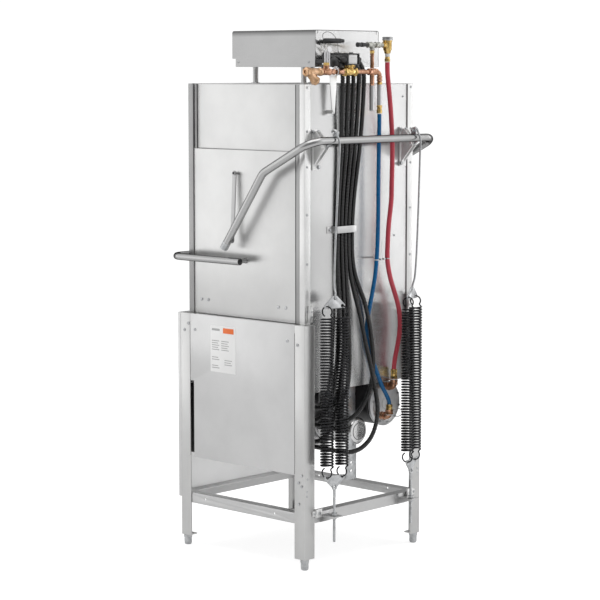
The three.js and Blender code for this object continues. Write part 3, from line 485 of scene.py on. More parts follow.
RED_RUBBER = coated("red_rubber", (0.6, 0.06, 0.09), (0.53, 0.05, 0.075), 0.34, 400, 0.15)
BLUE_RUBBER = coated("blue_rubber", (0.002, 0.12, 0.31), (0.002, 0.1, 0.27), 0.27, 400, 0.15,
                     Specular_IOR_Level=0.35)
LABEL_WHITE = coated("label_white", (0.97, 0.97, 0.965), (0.94, 0.94, 0.935), 0.35, 300, 0.1)
LABEL_GREY = coated("label_grey", grey(0.5), grey(0.44), 0.45)
LABEL_ORANGE = coated("label_orange", (0.95, 0.2, 0.04), (0.9, 0.18, 0.035), 0.4)
GREEN_PLASTIC = coated("green_plastic", (0.03, 0.25, 0.09), (0.024, 0.2, 0.07), 0.25)


# ---------------------------------------------------------------- placing the pieces
def finish_mesh(name, bm, material, body, nodes, sharp):
    """Puts a mesh in the scene on its body; edges over sharp degrees stay hard."""
    mesh = bpy.data.meshes.new(name)
    bmesh.ops.recalc_face_normals(bm, faces=bm.faces[:])
    bm.to_mesh(mesh)
    bm.free()
    mesh.polygons.foreach_set("use_smooth", [True] * len(mesh.polygons))
    mesh.set_sharp_from_angle(angle=math.radians(sharp))
    mesh.materials.append(material)
    obj = bpy.data.objects.new(name, mesh)
    bpy.context.scene.collection.objects.link(obj)
    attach(obj, body)
    if nodes:
        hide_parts(*nodes)
    return obj


def piece(name, shape, material, body="machine", nodes=(), sharp=35):
    """Makes one piece from a shape; nodes are the CAD nodes that it stands for."""
    bm = bmesh.new()
    verts = [bm.verts.new(to_row(v)) for v in shape.verts]
    for face in shape.faces:
        bm.faces.new([verts[i] for i in face])
    return finish_mesh(name, bm, material, body, nodes, sharp)


def softened(node, material, bevel):
    """A copy of a CAD node with small radii on its sharp edges, shown in the node's place."""
    source = frame["nodes"][node]
    bm = bmesh.new()
    bm.from_mesh(source.data)
    bmesh.ops.remove_doubles(bm, verts=bm.verts[:], dist=1e-5)
    bmesh.ops.dissolve_limit(bm, angle_limit=0.01, verts=bm.verts[:], edges=bm.edges[:])
    sharp = [e for e in bm.edges if e.is_manifold and e.calc_face_angle(0) > 0.75]
    bmesh.ops.bevel(bm, geom=sharp, offset=bevel / 1000, segments=2, profile=0.5, affect="EDGES",
                    clamp_overlap=True)
    return finish_mesh(node + "_sheet", bm, material, source["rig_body"], [node], 35)


def both_sides(name, shape, material, bodies=("machine", "machine"), nodes=()):
    """The shape on the right of the machine and its mirror image on the left."""
    for side, body, form in (("right", bodies[0], shape), ("left", bodies[1], shape.mirrored())):
        piece(f"{name}_{side}", form, material, body, [f"{node}_{side}" for node in nodes])


def heads(points, axis, radius, height, kind="rivet"):
    """Rivet, screw or bolt heads at points, standing out along axis."""
    shape = Shape()
    dome = [(radius, 0), (radius, height * 0.25), (radius * 0.8, height * 0.7), (radius * 0.4, height)]
    end = [(0, height)] if kind == "rivet" else [(radius * 0.35, height * 0.45), (0, height * 0.45)]
    for point in points:
        if kind == "bolt":
            shape.nut(radius, point, Vector(point) + Vector(axis) * height, 0.4)
        else:
            shape.turned([(0, -0.2), (radius, -0.2)] + dome + end, point, axis, 18)
    return shape


# ---------------------------------------------------------------- camera and light
def add_camera():
    """The camera that was fitted to the photograph's edges."""
    pitch, heading = math.radians(-6.383), math.radians(223.154)
    camera = bpy.data.cameras.new("camera")
    camera.lens = 123.28
    camera.sensor_width = 36
    camera.clip_end = 200
    obj = bpy.data.objects.new("camera", camera)
    bpy.context.scene.collection.objects.link(obj)
    obj.location = (5.4584, 5.0933, 1.7438)
    obj.rotation_euler = (math.pi / 2 + pitch, 0, heading - math.pi / 2)
    bpy.context.scene.camera = obj


def add_world():
    """White to the camera. Its light is bright at both sides of the view and dim along it."""
    seen_strength, bright, dim = 1.05, 0.95, 0.3
    world = bpy.data.worlds.new("studio")
    bpy.context.scene.world = world
    world.use_nodes = True
    tree = world.node_tree
    background = tree.nodes["Background"]
    background.inputs["Color"].default_value = (1, 1, 1, 1)
    place = tree.nodes.new("ShaderNodeTexCoord")
    along = tree.nodes.new("ShaderNodeVectorMath")
    along.operation = "DOT_PRODUCT"
    along.inputs[1].default_value = (0.731, 0.682, 0)
    squared = tree.nodes.new("ShaderNodeMath")
    squared.operation = "POWER"
    squared.inputs[1].default_value = 2.0
    strength = map_range(tree, bright, dim, 0.12, 0.7)
    seen = tree.nodes.new("ShaderNodeLightPath")
    mix = tree.nodes.new("ShaderNodeMix")
    factor, unseen_value, seen_value = mix.inputs[0], mix.inputs[2], mix.inputs[3]
    seen_value.default_value = seen_strength
    tree.links.new(place.outputs["Generated"], along.inputs[0])
    tree.links.new(along.outputs["Value"], squared.inputs[0])
    tree.links.new(squared.outputs[0], strength.inputs["Value"])
    tree.links.new(seen.outputs["Is Camera Ray"], factor)
    tree.links.new(strength.outputs["Result"], unseen_value)
    tree.links.new(mix.outputs[0], background.inputs["Strength"])


def add_lights():
    """Area lights, in metres and watts."""
    for name, place, target, size, power in (
            ("overhead", (0.8, 1.0, 5.5), (0, 0, 0.8), (4.5, 4.5), 60),
            ("rear_left_key", (-3.2, 4.6, 2.6), (0, 0.1, 1.0), (3.0, 3.4), 12),
            ("right_key", (4.5, -4.3, 1.5), (0.2, 0.1, 1.2), (5.0, 4.0), 17),
            ("rear_strip", (-4.1, 1.9, 1.7), (0, 0.3, 1.1), (0.45, 3.2), 11),
            ("right_strip", (2.0, -4.2, 1.7), (0.3, 0, 1.1), (0.45, 3.2), 4)):
        light = bpy.data.lights.new(name, "AREA")
        light.shape = "RECTANGLE"
        light.size, light.size_y = size
        light.energy = power
        obj = bpy.data.objects.new(name, light)
        bpy.context.scene.collection.objects.link(obj)
        obj.location = place
        obj.rotation_euler = (Vector(target) - Vector(place)).to_track_quat("-Z", "Y").to_euler()
    bpy.context.scene.view_settings.view_transform = "Standard"


def add_floor():
    """A pale floor that glows faintly, and more where the camera sees it."""
    unseen_glow, seen_glow = 0.3, 0.75
    look = Look("studio_floor", grey(0.55), 0.8, Emission_Color=(1, 1, 1, 1))
    look.bump(look.noise(60), 0.02, 0.0002)
    seen = look.node("ShaderNodeLightPath")
    glow = look.range(seen.outputs["Is Camera Ray"], unseen_glow, seen_glow, 0.0, 1.0)
    look.link(glow, look.shader, "Emission Strength")
    bm = bmesh.new()
    bmesh.ops.create_circle(bm, cap_ends=True, segments=96, radius=4.5)
    mesh = bpy.data.meshes.new("studio_floor")
    bm.to_mesh(mesh)
    bm.free()
    mesh.materials.append(look.material)
    floor = bpy.data.objects.new("studio_floor", mesh)
    floor.location.z = -0.0005
    bpy.context.scene.collection.objects.link(floor)


# ---------------------------------------------------------------- hoses and conduits
# Routes in metres of the machine's frame, as in the CAD.
RED_HOSE = [
    (-0.096, 0.33, 1.772), (-0.097, 0.33, 1.735), (-0.108, 0.328, 1.674), (-0.118, 0.326, 1.62),
    (-0.126, 0.324, 1.567), (-0.137, 0.32, 1.478), (-0.139, 0.318, 1.406), (-0.137, 0.318, 1.342),
    (-0.136, 0.317, 1.281), (-0.125, 0.315, 1.192), (-0.121, 0.314, 1.127), (-0.121, 0.313, 1.07),
    (-0.131, 0.312, 1.025), (-0.146, 0.311, 0.985), (-0.165, 0.311, 0.943), (-0.184, 0.311, 0.897),
    (-0.194, 0.311, 0.849), (-0.194, 0.31, 0.798), (-0.185, 0.308, 0.747), (-0.176, 0.305, 0.704),
    (-0.173, 0.303, 0.678), (-0.173, 0.302, 0.652)]
BLUE_HOSE = [
    (-0.054, 0.33, 1.59), (-0.054, 0.33, 1.555), (-0.055, 0.328, 1.498), (-0.055, 0.327, 1.427),
    (-0.055, 0.326, 1.338), (-0.055, 0.326, 1.246), (-0.053, 0.325, 1.139), (-0.05, 0.324, 1.078),
    (-0.044, 0.321, 1.011), (-0.037, 0.315, 0.954), (-0.033, 0.307, 0.906), (-0.031, 0.298, 0.858),
    (-0.031, 0.294, 0.812), (-0.039, 0.294, 0.768), (-0.056, 0.296, 0.719), (-0.079, 0.299, 0.666),
    (-0.108, 0.301, 0.608), (-0.132, 0.302, 0.573), (-0.146, 0.302, 0.548), (-0.148, 0.302, 0.524)]
CONDUIT_DIAMETER = 0.017
# Each conduit: its place across the control box, then its points down to the electric box.
CONDUITS = {
    "conduit_1": (0.004, [
        (0.008, 0.305, 1.6), (0.019, 0.301, 1.467), (0.043, 0.297, 1.292), (0.051, 0.296, 1.188),
        (0.048, 0.296, 1.08), (0.034, 0.296, 1.022), (0.012, 0.297, 0.973), (-0.009, 0.3, 0.929),
        (-0.017, 0.309, 0.88), (-0.024, 0.314, 0.84), (-0.036, 0.313, 0.784), (-0.046, 0.313, 0.711),
        (-0.044, 0.311, 0.656), (-0.035, 0.305, 0.602), (-0.013, 0.296, 0.553), (0.022, 0.285, 0.515),
        (0.06, 0.262, 0.492), (0.09, 0.228, 0.481), (0.104, 0.185, 0.478), (0.104, 0.11, 0.478),
        (0.104, 0.02, 0.478), (0.104, -0.058, 0.478)]),
    "conduit_2": (0.032, [
        (0.035, 0.305, 1.6), (0.043, 0.301, 1.467), (0.063, 0.297, 1.292), (0.07, 0.296, 1.188),
        (0.067, 0.296, 1.08), (0.059, 0.297, 1.022), (0.046, 0.3, 0.968), (0.032, 0.304, 0.918),
        (0.018, 0.312, 0.854), (0.004, 0.322, 0.771), (-0.011, 0.328, 0.709), (-0.028, 0.33, 0.642),
        (-0.045, 0.33, 0.578), (-0.051, 0.33, 0.527), (-0.042, 0.328, 0.473), (-0.017, 0.324, 0.429),
        (0.022, 0.316, 0.4), (0.062, 0.304, 0.39), (0.092, 0.28, 0.392), (0.11, 0.24, 0.398),
        (0.116, 0.19, 0.4), (0.116, 0.11, 0.4), (0.116, 0.02, 0.4), (0.116, -0.058, 0.4)]),
    "conduit_3": (0.060, [
        (0.062, 0.305, 1.6), (0.067, 0.301, 1.467), (0.083, 0.297, 1.292), (0.089, 0.296, 1.188),
        (0.086, 0.296, 1.085), (0.08, 0.298, 0.96), (0.074, 0.3, 0.86), (0.069, 0.301, 0.76),
        (0.069, 0.301, 0.69), (0.074, 0.3, 0.64), (0.08, 0.295, 0.602), (0.093, 0.282, 0.573),
        (0.107, 0.258, 0.555), (0.119, 0.226, 0.548), (0.128, 0.188, 0.546), (0.13, 0.145, 0.546),
        (0.13, 0.09, 0.546), (0.13, 0.02, 0.546), (0.13, -0.058, 0.546)]),
    "conduit_4": (0.088, [
        (0.089, 0.305, 1.6), (0.091, 0.301, 1.467), (0.104, 0.297, 1.292), (0.108, 0.296, 1.188),
        (0.105, 0.296, 1.085), (0.099, 0.298, 0.96), (0.096, 0.3, 0.86), (0.099, 0.301, 0.76),
        (0.112, 0.3, 0.66), (0.128, 0.296, 0.56), (0.146, 0.28, 0.48), (0.16, 0.242, 0.436),
        (0.166, 0.185, 0.43), (0.166, 0.11, 0.43), (0.166, 0.02, 0.43), (0.166, -0.058, 0.43)]),
    "conduit_5": (0.116, [
        (0.116, 0.305, 1.6), (0.115, 0.301, 1.467), (0.124, 0.297, 1.292), (0.127, 0.296, 1.188),
        (0.128, 0.296, 1.085), (0.124, 0.298, 0.96), (0.124, 0.3, 0.86), (0.13, 0.301, 0.76),
        (0.142, 0.3, 0.67), (0.152, 0.298, 0.612), (0.166, 0.288, 0.56), (0.182, 0.264, 0.524),
        (0.192, 0.228, 0.508), (0.196, 0.185, 0.504), (0.196, 0.13, 0.504), (0.196, 0.08, 0.504),
        (0.196, 0.02, 0.504), (0.196, -0.058, 0.504)]),
}
COIL_LEAD_DIAMETER = 0.0018
COIL_LEAD = [
    (0.149, 0.25, 1.846), (0.158, 0.253, 1.856), (0.163, 0.258, 1.868), (0.152, 0.265, 1.876),
    (0.136, 0.272, 1.872), (0.124, 0.28, 1.858), (0.122, 0.289, 1.84), (0.13, 0.298, 1.824),
    (0.14, 0.308, 1.81), (0.144, 0.318, 1.796), (0.142, 0.326, 1.784)]


def conduit_start(x):
    """Level out of the control box's rear face, then a quarter turn down over the hood's edge."""
    y, z, bend, straight = 0.228, 1.79, 0.072, 0.008
    points = [(x, y, z), (x, y + straight, z)]
    for degrees in range(15, 91, 15):
        angle = math.radians(degrees)
        points.append((x, y + straight + bend * math.sin(angle), z - bend * (1 - math.cos(angle))))
    return points


def millimetres(points):
    return [Vector(p) * 1000 for p in points]


def add_cord(name, shape, material, nodes):
    cord = piece(name + "_skin", shape, material, "machine", nodes, 60)


def add_cords():
    for name, points, material, diameter in (("red_hose", RED_HOSE, RED_RUBBER, 0.017),
                                             ("blue_hose", BLUE_HOSE, BLUE_RUBBER, 0.015)):
        route = smooth(millimetres(points), 5)
        shape = Shape().sweep(route, diameter * 500, 20)
        add_cord(name, shape, material, [name])
    crest = CONDUIT_DIAMETER * 500
    groove = crest * 0.74
    for name, (x, points) in CONDUITS.items():
        route = smooth(millimetres(conduit_start(x) + points), 1.7)
        radii = [groove if i % 3 == 0 else crest for i in range(len(route))]
        shape = Shape().sweep(route, radii, 14)
        add_cord(name, shape, CONDUIT_BLACK, [name])
    route = smooth(millimetres(COIL_LEAD), 2)
    shape = Shape().sweep(route, COIL_LEAD_DIAMETER * 500, 10)
    add_cord("coil_lead", shape, BLACK_PLASTIC, [])


# ---------------------------------------------------------------- stand, tank and hood
def add_sheets():
    """The CAD's sheet and frame parts, with small edge radii and brushed steel."""
    corners = ("front_right", "front_left", "rear_right", "rear_left")
    groups = [
        (LEG_STEEL, "stainless_panel", 0.5, [f"leg_{c}" for c in corners]),
        (RAIL_STEEL, "stainless_panel", 0.5, ["lower_frame"]),
        (BASE_PANEL, "stainless_panel", 0.5,
         ["side_skirt_right", "side_skirt_left", "front_apron", "wash_tank"]),
        (WALL_STEEL, "stainless_panel", 0.5, ["rear_wall"]),
        (PANEL, "stainless_panel", 0.6,
         ["hood_top", "upper_panel_right", "upper_panel_left", "door_right", "door_left", "door_front"]),
        (TUBE_STEEL, "stainless_tube", 0.8, ["rack_track"]),
        (COVER_STEEL, "stainless_panel", 0.7, ["control_box_base"]),
        (BRACKET_STEEL, "zinc_steel", 0.5, ["pivot_bracket_right", "pivot_bracket_left"]),
        (BLACK_PAINT, "black_paint", 1.2, ["electric_box"]),
    ]
    for material, slot, bevel, nodes in groups:
        for node in nodes:
            softened(node, material, bevel)


def add_posts():
    """Folded corner posts; the doors and the rear wall run in the slots between their flanges."""
    profile = [(0, 0), (24, 0), (24, 2), (20, 2), (20, 7), (36, 7), (36, 9), (18, 9),
               (9, 18), (9, 36), (7, 36), (7, 20), (2, 20), (2, 29), (0, 29)]
    for x, end in ((1, "right"), (-1, "left")):
        for y, row in ((-1, "front"), (1, "rear")):
            outline = [((HOOD_HALF - w) * x, (HOOD_HALF - u) * y) for u, w in profile]
            shape = Shape().plate(outline, "Z", BASE_TOP, HOOD_TOP - 2.3, (), 0.35)
            # the front posts take the darker copy of the steel: painted shade
            material = SHADED_POST_STEEL if row == "front" else POST_STEEL
            post = f"post_{row}_{end}"
            piece(post + "_folded", shape, material, "machine", [post])


def add_door_guides():
    """The recess beside each rear post that the side doors run in: a dull strip and its dark edge."""
    low, high = 866, HOOD_TOP - 3
    strip = Shape().box((WALL + 0.1, 245.4, low), (WALL + 0.9, 263.6, high), 0.2)
    both_sides("door_guide_strip", strip, SHADED_POST_STEEL)
    edge = Shape().box((WALL + 0.1, 241.6, low), (WALL + 1.1, 245.2, high), 0.2)
    both_sides("door_guide_edge", edge, BLACK_PLASTIC)


def add_feet():
    """Bullet feet, each with a threaded stem up into its leg."""
    foot_place = 295
    profile = [(0, 0), (10, 0), (11.5, 0.8), (13.5, 5), (14, 12), (14, 17), (13.2, 18), (13.2, 19),
               (14, 20), (14, 26), (15.5, 28), (15.5, 36.7), (14.5, 37.7), (6, 37.7)]
    thread = [(6 - 0.6 * (k % 2), 38 + k) for k in range(36)]
    stem_top = [(0, 74)]
    for x, end in ((1, "right"), (-1, "left")):
        for y, row in ((-1, "front"), (1, "rear")):
            name = f"foot_{row}_{end}"
            place = (foot_place * x, foot_place * y, 0)
            shape = Shape().turned(profile + thread + stem_top, place)
            piece(name + "_turned", shape, ZINC, name, [name])


# ---------------------------------------------------------------- handle, lift arm and links
def add_handle():
    """The tube around three sides of the doors, with its stubs to the doors and its end plugs."""
    front, rear_end, height, stub_x = -336, 18, 1071, 150
    route = bent([(ARM_SIDE, rear_end, height), (ARM_SIDE, front, height),
                  (-ARM_SIDE, front, height), (-ARM_SIDE, rear_end, height)], 50)
    tube = Shape().sweep(route, 12.5, 36)
    for sign in (1, -1):
        face = (DOOR_FACE * sign, 0, height)
        tube.cylinder(8, (ARM_SIDE * sign, 0, height), face)
        tube.cylinder(11, (287.5 * sign, 0, height), face)
        tube.cylinder(8, (stub_x * sign, front, height), (stub_x * sign, -DOOR_FACE, height))
    piece("door_handle_tube", tube, TUBE_STEEL, "doors", ["door_handle"])
    plug = Shape().turned([(0, 0), (10.6, 0), (10.6, 1.0), (9.6, 1.5), (0, 1.5)],
                          (ARM_SIDE, rear_end, height), TO_REAR)
    both_sides("handle_plug", plug, BLACK_PLASTIC, ("doors", "doors"))


def add_lift_arm():
    y, z = ARM_CROSS
    right = [Vector(ARM_END), Vector(ARM_ELBOW), Vector((ARM_SIDE, y, z))]
    left = [Vector((-v.x, v.y, v.z)) for v in right]
    tube = Shape().sweep(bent(right + left[::-1], 60), 13.5, 36)
    piece("lift_arm_tube", tube, TUBE_STEEL, "lift_arm", ["lift_arm"])
    toward = (right[0] - right[1]).normalized()
    cap = Shape().turned([(0, -26), (13.9, -26), (14.3, -25.5), (14.3, 0), (13.6, 1.6), (11.5, 2.2),
                          (0, 2.2)], right[0], toward, 36)
    both_sides("lift_arm_cap", cap, ZINC, ("lift_arm", "lift_arm"))
    both_sides("lift_arm_lugs", arm_lugs(), ZINC, ("lift_arm", "lift_arm"))


def arm_lugs():
    """The lug on the pivot pin, the ear that the spring's hook hangs on, and the link's bolt."""
    px, py, pz = ARM_PIVOT
    lug = Shape().plate([(py - 13, pz - 6), (py - 6, pz - 13), (py + 6, pz - 13), (py + 18, pz - 4),
                         (py + 34, pz + 6), (py + 26, pz + 24), (py + 8, pz + 16), (py - 8, pz + 12),
                         (py - 13, pz + 6)], "X", px - 5, px + 5, [(py, pz, 6.5)], 0.8)
    y, z = ARM_CROSS
    ex, ey, ez = EAR
    lug.plate([(y - 12, z + 6), (y + 12, z + 6), (y + 10, ez + 6), (y + 5, ez + 11),
               (y - 5, ez + 11), (y - 10, ez + 6)], "X", ex - 2, ex + 2, (), 0.5)
    lug.cylinder(4.5, (ex - 14, ey, ez), (ex + 14, ey, ez), 18)
    lug.nut(7.5, (ex - 8, ey, ez), (ex - 2, ey, ez))
    return lug.cylinder(6, (ARM_SIDE - 5, LINK_Y, LINK_LOW), (312.3, LINK_Y, LINK_LOW))


def add_bracket_bolts():
    face = WALL + 4.3
    x = ARM_PIVOT[0]
    bolts = Shape()
    for bolt_x, z in ((x - 14, 1410), (x - 14, 1531), (x + 12, 1531)):
        bolts.cylinder(8, (bolt_x, face, z), (bolt_x, face + 1.5, z))
        bolts.nut(6.5, (bolt_x, face + 1.5, z), (bolt_x, face + 6.5, z), 0.3)
    both_sides("bracket_bolts", bolts, ZINC)


def add_door_links():
    """Straps with round ends that lean in from the arm's bolt to the bolt on each side door."""
    half_width, lean, bolt_end = 9, 13, 303
    outline = arc(LINK_Y, LINK_HIGH, half_width, 0, math.pi, 10)
    outline += arc(LINK_Y, LINK_LOW, half_width, math.pi, 2 * math.pi, 10)
    strap = Shape().plate(outline, "X", 308, 311.5, (), 0.6)
    for v in strap.verts:
        v.x -= lean * (v.z - LINK_LOW) / (LINK_HIGH - LINK_LOW)
    strap.cylinder(5, (DOOR_FACE, LINK_Y, LINK_HIGH), (bolt_end, LINK_Y, LINK_HIGH), 20)
    strap.nut(7.5, (298.5, LINK_Y, LINK_HIGH), (bolt_end, LINK_Y, LINK_HIGH))
    both_sides("door_link_strap", strap, LINK_STEEL,
               ("door_link_right", "door_link_left"), ["door_link"])


# ---------------------------------------------------------------- balance springs
def coil_spring(x, y, facing):
    """An extension spring: open coils with a round loop at each end, turned to face one way."""
    wire, loop_wire, loop, pitch, per_turn = 3.1, 2.5, 18, 10.0, 24
    radius = SPRING_RADIUS - wire
    low, high = SPRING_BOTTOM + wire, SPRING_TOP - wire
    turns = round((high - low) / pitch)
    ux, uy = math.cos(facing), math.sin(facing)
    coil = []
    for k in range(turns * per_turn + 1):
        angle = facing + 2 * math.pi * k / per_turn
        coil.append((x + radius * math.cos(angle), y + radius * math.sin(angle),
                     low + (high - low) * k / (turns * per_turn)))
    shape = Shape().sweep(coil, wire, 10)
    lower_hole, upper_hole = SPRING_HOLES
    for hole, sign, end in ((lower_hole, 1, low), (upper_hole, -1, high)):
        centre = hole + sign * loop
        ring = [(x + ux * radius, y + uy * radius, end)]
        for degrees in range(130, -151, -14):
            turn = math.radians(degrees)
            ring.append((x + ux * loop * math.sin(turn), y + uy * loop * math.sin(turn),
                         centre - sign * loop * math.cos(turn)))
        shape.sweep(smooth(ring, 3), loop_wire, 10)
    return shape


def spring_places(side):
    spread_x, spread_y = SPRING_SPREAD
    for name, reach in (("outer", 1), ("inner", -1)):
        yield name, (SPRING_X + spread_x * reach) * side, SPRING_Y - spread_y * reach


def turned_plate(side, outline, hole_height, eye):
    """A plate of a spring pair, in its own upright plane turned a little about the vertical."""
    reach = math.hypot(*SPRING_SPREAD)
    holes = [(-reach, hole_height, 6), (reach, hole_height, 6), eye]
    flat = Shape().plate(outline, "Y", -2, 2, holes, 0.6)
    toe = -math.atan2(SPRING_SPREAD[1], SPRING_SPREAD[0]) * side
    placed = []
    for v in flat.verts:
        placed.append((SPRING_X * side + v.x * math.cos(toe) - v.y * math.sin(toe),
                       SPRING_Y + v.x * math.sin(toe) + v.y * math.cos(toe), v.z))
    return Shape().add(placed, flat.faces)


def add_hanger(side, end):
    """The rod that hooks over the lift arm's ear, and the plate that a pair of springs hangs from."""
    body = f"spring_hanger_{end}"
    x = 216 * side
    _, y, z = EAR
    route = smooth([(x, y - 11, z + 2), (x, y - 9, z + 6.5), (x, y - 4, z + 10),
                    (x, y + 2, z + 10.5), (x, y + 9, z + 5), (x, y + 13, z - 5),
                    (x, y + 22, z - 22), (x, y + 25, z - 40), (x, y + 24, z - 70),
                    (x, SPRING_Y + 6, 1000), (SPRING_X * side, SPRING_Y + 4, 975),
                    (SPRING_X * side, SPRING_Y + 1, 956)], 4)
    piece(body + "_rod", Shape().sweep(route, 3.6, 16), ZINC, body, [body])
    outline = [(-42, 922), (42, 922), (42, 934), (8, 966), (-8, 966), (-42, 934)]
    plate = turned_plate(side, outline, SPRING_HOLES[1], (0, 957, 5))
    piece(body + "_plate", plate, ZINC, body)


def add_anchor(side, end):
    """The eyebolt in the rear rail's bracket, and the plate that holds a pair's lower loops."""
    name = f"spring_anchor_{end}"
    x, y = SPRING_X * side, SPRING_Y
    thread = [(5 - 0.7 * (k % 2), 96 + 1.25 * k) for k in range(128)]
    bolt = Shape().turned([(0, 96)] + thread + [(5, 258), (5, 284), (0, 284)], (x, y, 0), UP, 20)
    bolt.ring(8.5, 3.6, (x, y, 291), (0, 1, 0.2))
    for low in (190.3, 177.7):
        bolt.nut(9.5, (x, y, low), (x, y, low + 8))
    bolt.cylinder(11, (x, y, 198.3), (x, y, 199.8))
    piece(name + "_bolt", bolt, ZINC, "machine", [name])
    outline = [(-8, 288), (8, 288), (42, 322), (42, 334), (-42, 334), (-42, 322)]
    plate = turned_plate(side, outline, SPRING_HOLES[0], (0, 297, 5))
    piece(name + "_plate", plate, ZINC)


def add_springs():
    for side, end, loops_face in ((1, "right", 110), (-1, "left", 125)):
        for name, x, y in spring_places(side):
            node = f"spring_{name}_{end}"
            coil = coil_spring(x, y, math.radians(loops_face))
            obj = piece(node + "_coil", coil, BLACK_STEEL, "machine", [node], 70)
            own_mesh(obj)
        add_hanger(side, end)
        add_anchor(side, end)


# ---------------------------------------------------------------- control box
def cover_profile(half, top, low, bend):
    """The cover's section across X: up one side, over the top and down the other side."""
    corner = arc(half - bend, top - bend, bend, 0, math.pi / 2, 8)
    right = [(half, low), (half, BOX_NOTCH)] + corner
    return right + [(-x, z) for x, z in right[::-1]]


def add_cover_sheet():
    """One sheet bent over the sides and the top, cut away at its lower front."""
    columns = (BOX_FRONT, BOX_FRONT + BOX_STEP, BOX_REAR)
    bm = bmesh.new()
    grid = [[bm.verts.new((x, y, z)) for y in columns]
            for x, z in cover_profile(BOX_HALF, BOX_TOP, BOX_BOTTOM, 9)]
    for a, b in zip(grid, grid[1:]):
        for j in (0, 1):
            if j == 1 or min(a[0].co.z, b[0].co.z) >= BOX_NOTCH:
                bm.faces.new((a[j], a[j + 1], b[j + 1], b[j]))
    bmesh.ops.delete(bm, geom=[v for v in bm.verts if not v.link_faces], context="VERTS")
    bmesh.ops.recalc_face_normals(bm, faces=bm.faces[:])
    bmesh.ops.solidify(bm, geom=bm.faces[:], thickness=2)
    piece("control_cover_sheet", Shape().take(bm), COVER_SIDE, "machine",
          ["control_box_cover"])


def add_cover_ends():
    """The stepped front plate, the rear plate with its cut corners, and the slots beside them."""
    half, top = BOX_HALF - 2.4, BOX_TOP - 2.4
    rocker_hole = [(ROCKER_X - 14, SWITCH_Z - 14), (ROCKER_X + 14, SWITCH_Z - 14),
                   (ROCKER_X + 14, SWITCH_Z + 14), (ROCKER_X - 14, SWITCH_Z + 14)]
    front = Shape().plate([(-half, BOX_NOTCH), (half, BOX_NOTCH), (half, top), (-half, top)],
                          "Y", BOX_FRONT, BOX_FRONT + 2, [(BUTTON_X, SWITCH_Z, 9.5)], 0,
                          [rocker_hole])
    step = BOX_NOTCH - 0.6
    front.plate([(-half, BOX_BOTTOM), (half, BOX_BOTTOM), (half, step), (-half, step)], "Y",
                BOX_FRONT + BOX_STEP, BOX_FRONT + BOX_STEP + 2, (), 0.4)
    front.box((-half, BOX_FRONT + 0.6, step), (half, BOX_FRONT + 18, BOX_NOTCH + 1.2), 0.3)
    piece("control_cover_front", front, COVER_SIDE)

    cut = 6
    right = [(half, BOX_BOTTOM), (half, top - cut), (half - cut * 0.3, top - cut * 0.3),
             (half - cut, top)]
    outline = [(-half, BOX_BOTTOM)] + right + [(-x, z) for x, z in right[:0:-1]]
    exits = [(x * 1000, CONDUIT_Z, 9.4) for x, _ in CONDUITS.values()]
    rear = Shape().plate(outline, "Y", BOX_REAR - 2, BOX_REAR, exits, 0.4)
    piece("control_cover_rear", rear, WALL_STEEL)
    relief = Shape()
    for left in (153.6, -156):
        relief.box((left, BOX_REAR - 0.5, BOX_TOP - 13),
                   (left + 2.4, BOX_REAR + 0.2, BOX_TOP - 0.5), 0)
    piece("cover_relief_slots", relief, BLACK_PLASTIC)


def add_control_fittings():
    """The conduits' glands, the cover's screws, the power rocker and the start button."""
    glands = Shape()
    for x, _ in CONDUITS.values():
        glands.turned([(9.3, 0), (13.5, 0), (14, 1), (14, 5), (12.5, 7), (9.3, 7), (9.3, 0)],
                      (x * 1000, BOX_REAR, CONDUIT_Z), TO_REAR, 24)
    piece("conduit_glands", glands, BLACK_PLASTIC)
    screws = heads([(x, y, 1772) for x in (BOX_HALF, -BOX_HALF) for y in (-150, 196)],
                   TO_RIGHT, 4.5, 2, "screw")
    for v in screws.verts:
        if v.x < 0:
            v.x = -BOX_HALF - (v.x + BOX_HALF)
    piece("box_screws", screws, ZINC)

    rocker = Shape().plate([(-8, -12.5), (-5.6, -5), (-5, 0), (-5.6, 5), (-8, 12.5), (4, 12.5),
                            (4, -12.5)], "X", ROCKER_X - 13, ROCKER_X + 13, (), 0.8)
    tilt = -0.105
    for v in rocker.verts:
        y, z = v.y, v.z
        v.y = BOX_FRONT + 4 + y * math.cos(tilt) - z * math.sin(tilt)
        v.z = SWITCH_Z + y * math.sin(tilt) + z * math.cos(tilt)
    piece("power_rocker", rocker, BLACK_PLASTIC, "power_switch", ["power_switch"])
    bezel = Shape()
    for left, right, low, high in ((-18, 18, -18, -14), (-18, 18, 14, 18),
                                   (-18, -14, -18, 18), (14, 18, -18, 18)):
        bezel.box((ROCKER_X + left, BOX_FRONT - 2, SWITCH_Z + low),
                  (ROCKER_X + right, BOX_FRONT, SWITCH_Z + high), 0.6)
    piece("rocker_bezel", bezel, BLACK_PLASTIC)

    button = Shape().turned([(0, 0), (7.4, 0), (8.6, 0.6), (9, 2), (9, 10), (12, 10.3), (12, 14),
                             (0, 14)], (BUTTON_X, BOX_FRONT - 8, SWITCH_Z), TO_REAR)
    piece("start_button_cap", button, GREEN_PLASTIC, "start_button",
          ["start_button"])
    collar = Shape().turned([(9.6, 0), (13, 0), (14, 0.8), (14, 2.4), (9.6, 2.4), (9.6, 0)],
                            (BUTTON_X, BOX_FRONT - 2.4, SWITCH_Z), TO_REAR)
    piece("start_button_collar", collar, ZINC)


# ---------------------------------------------------------------- water inlet
def fitting(radius, length):
    """The profile of a soldered or screwed joint: a sleeve with a raised bead at both ends."""
    bead = min(3.0, length / 5)
    return [(0, 0), (radius + 0.4, 0), (radius + 1.2, bead * 0.4), (radius + 0.4, bead),
            (radius, bead * 1.3), (radius, length - bead * 1.3), (radius + 0.4, length - bead),
            (radius + 1.2, length - bead * 0.4), (radius + 0.4, length), (0, length)]


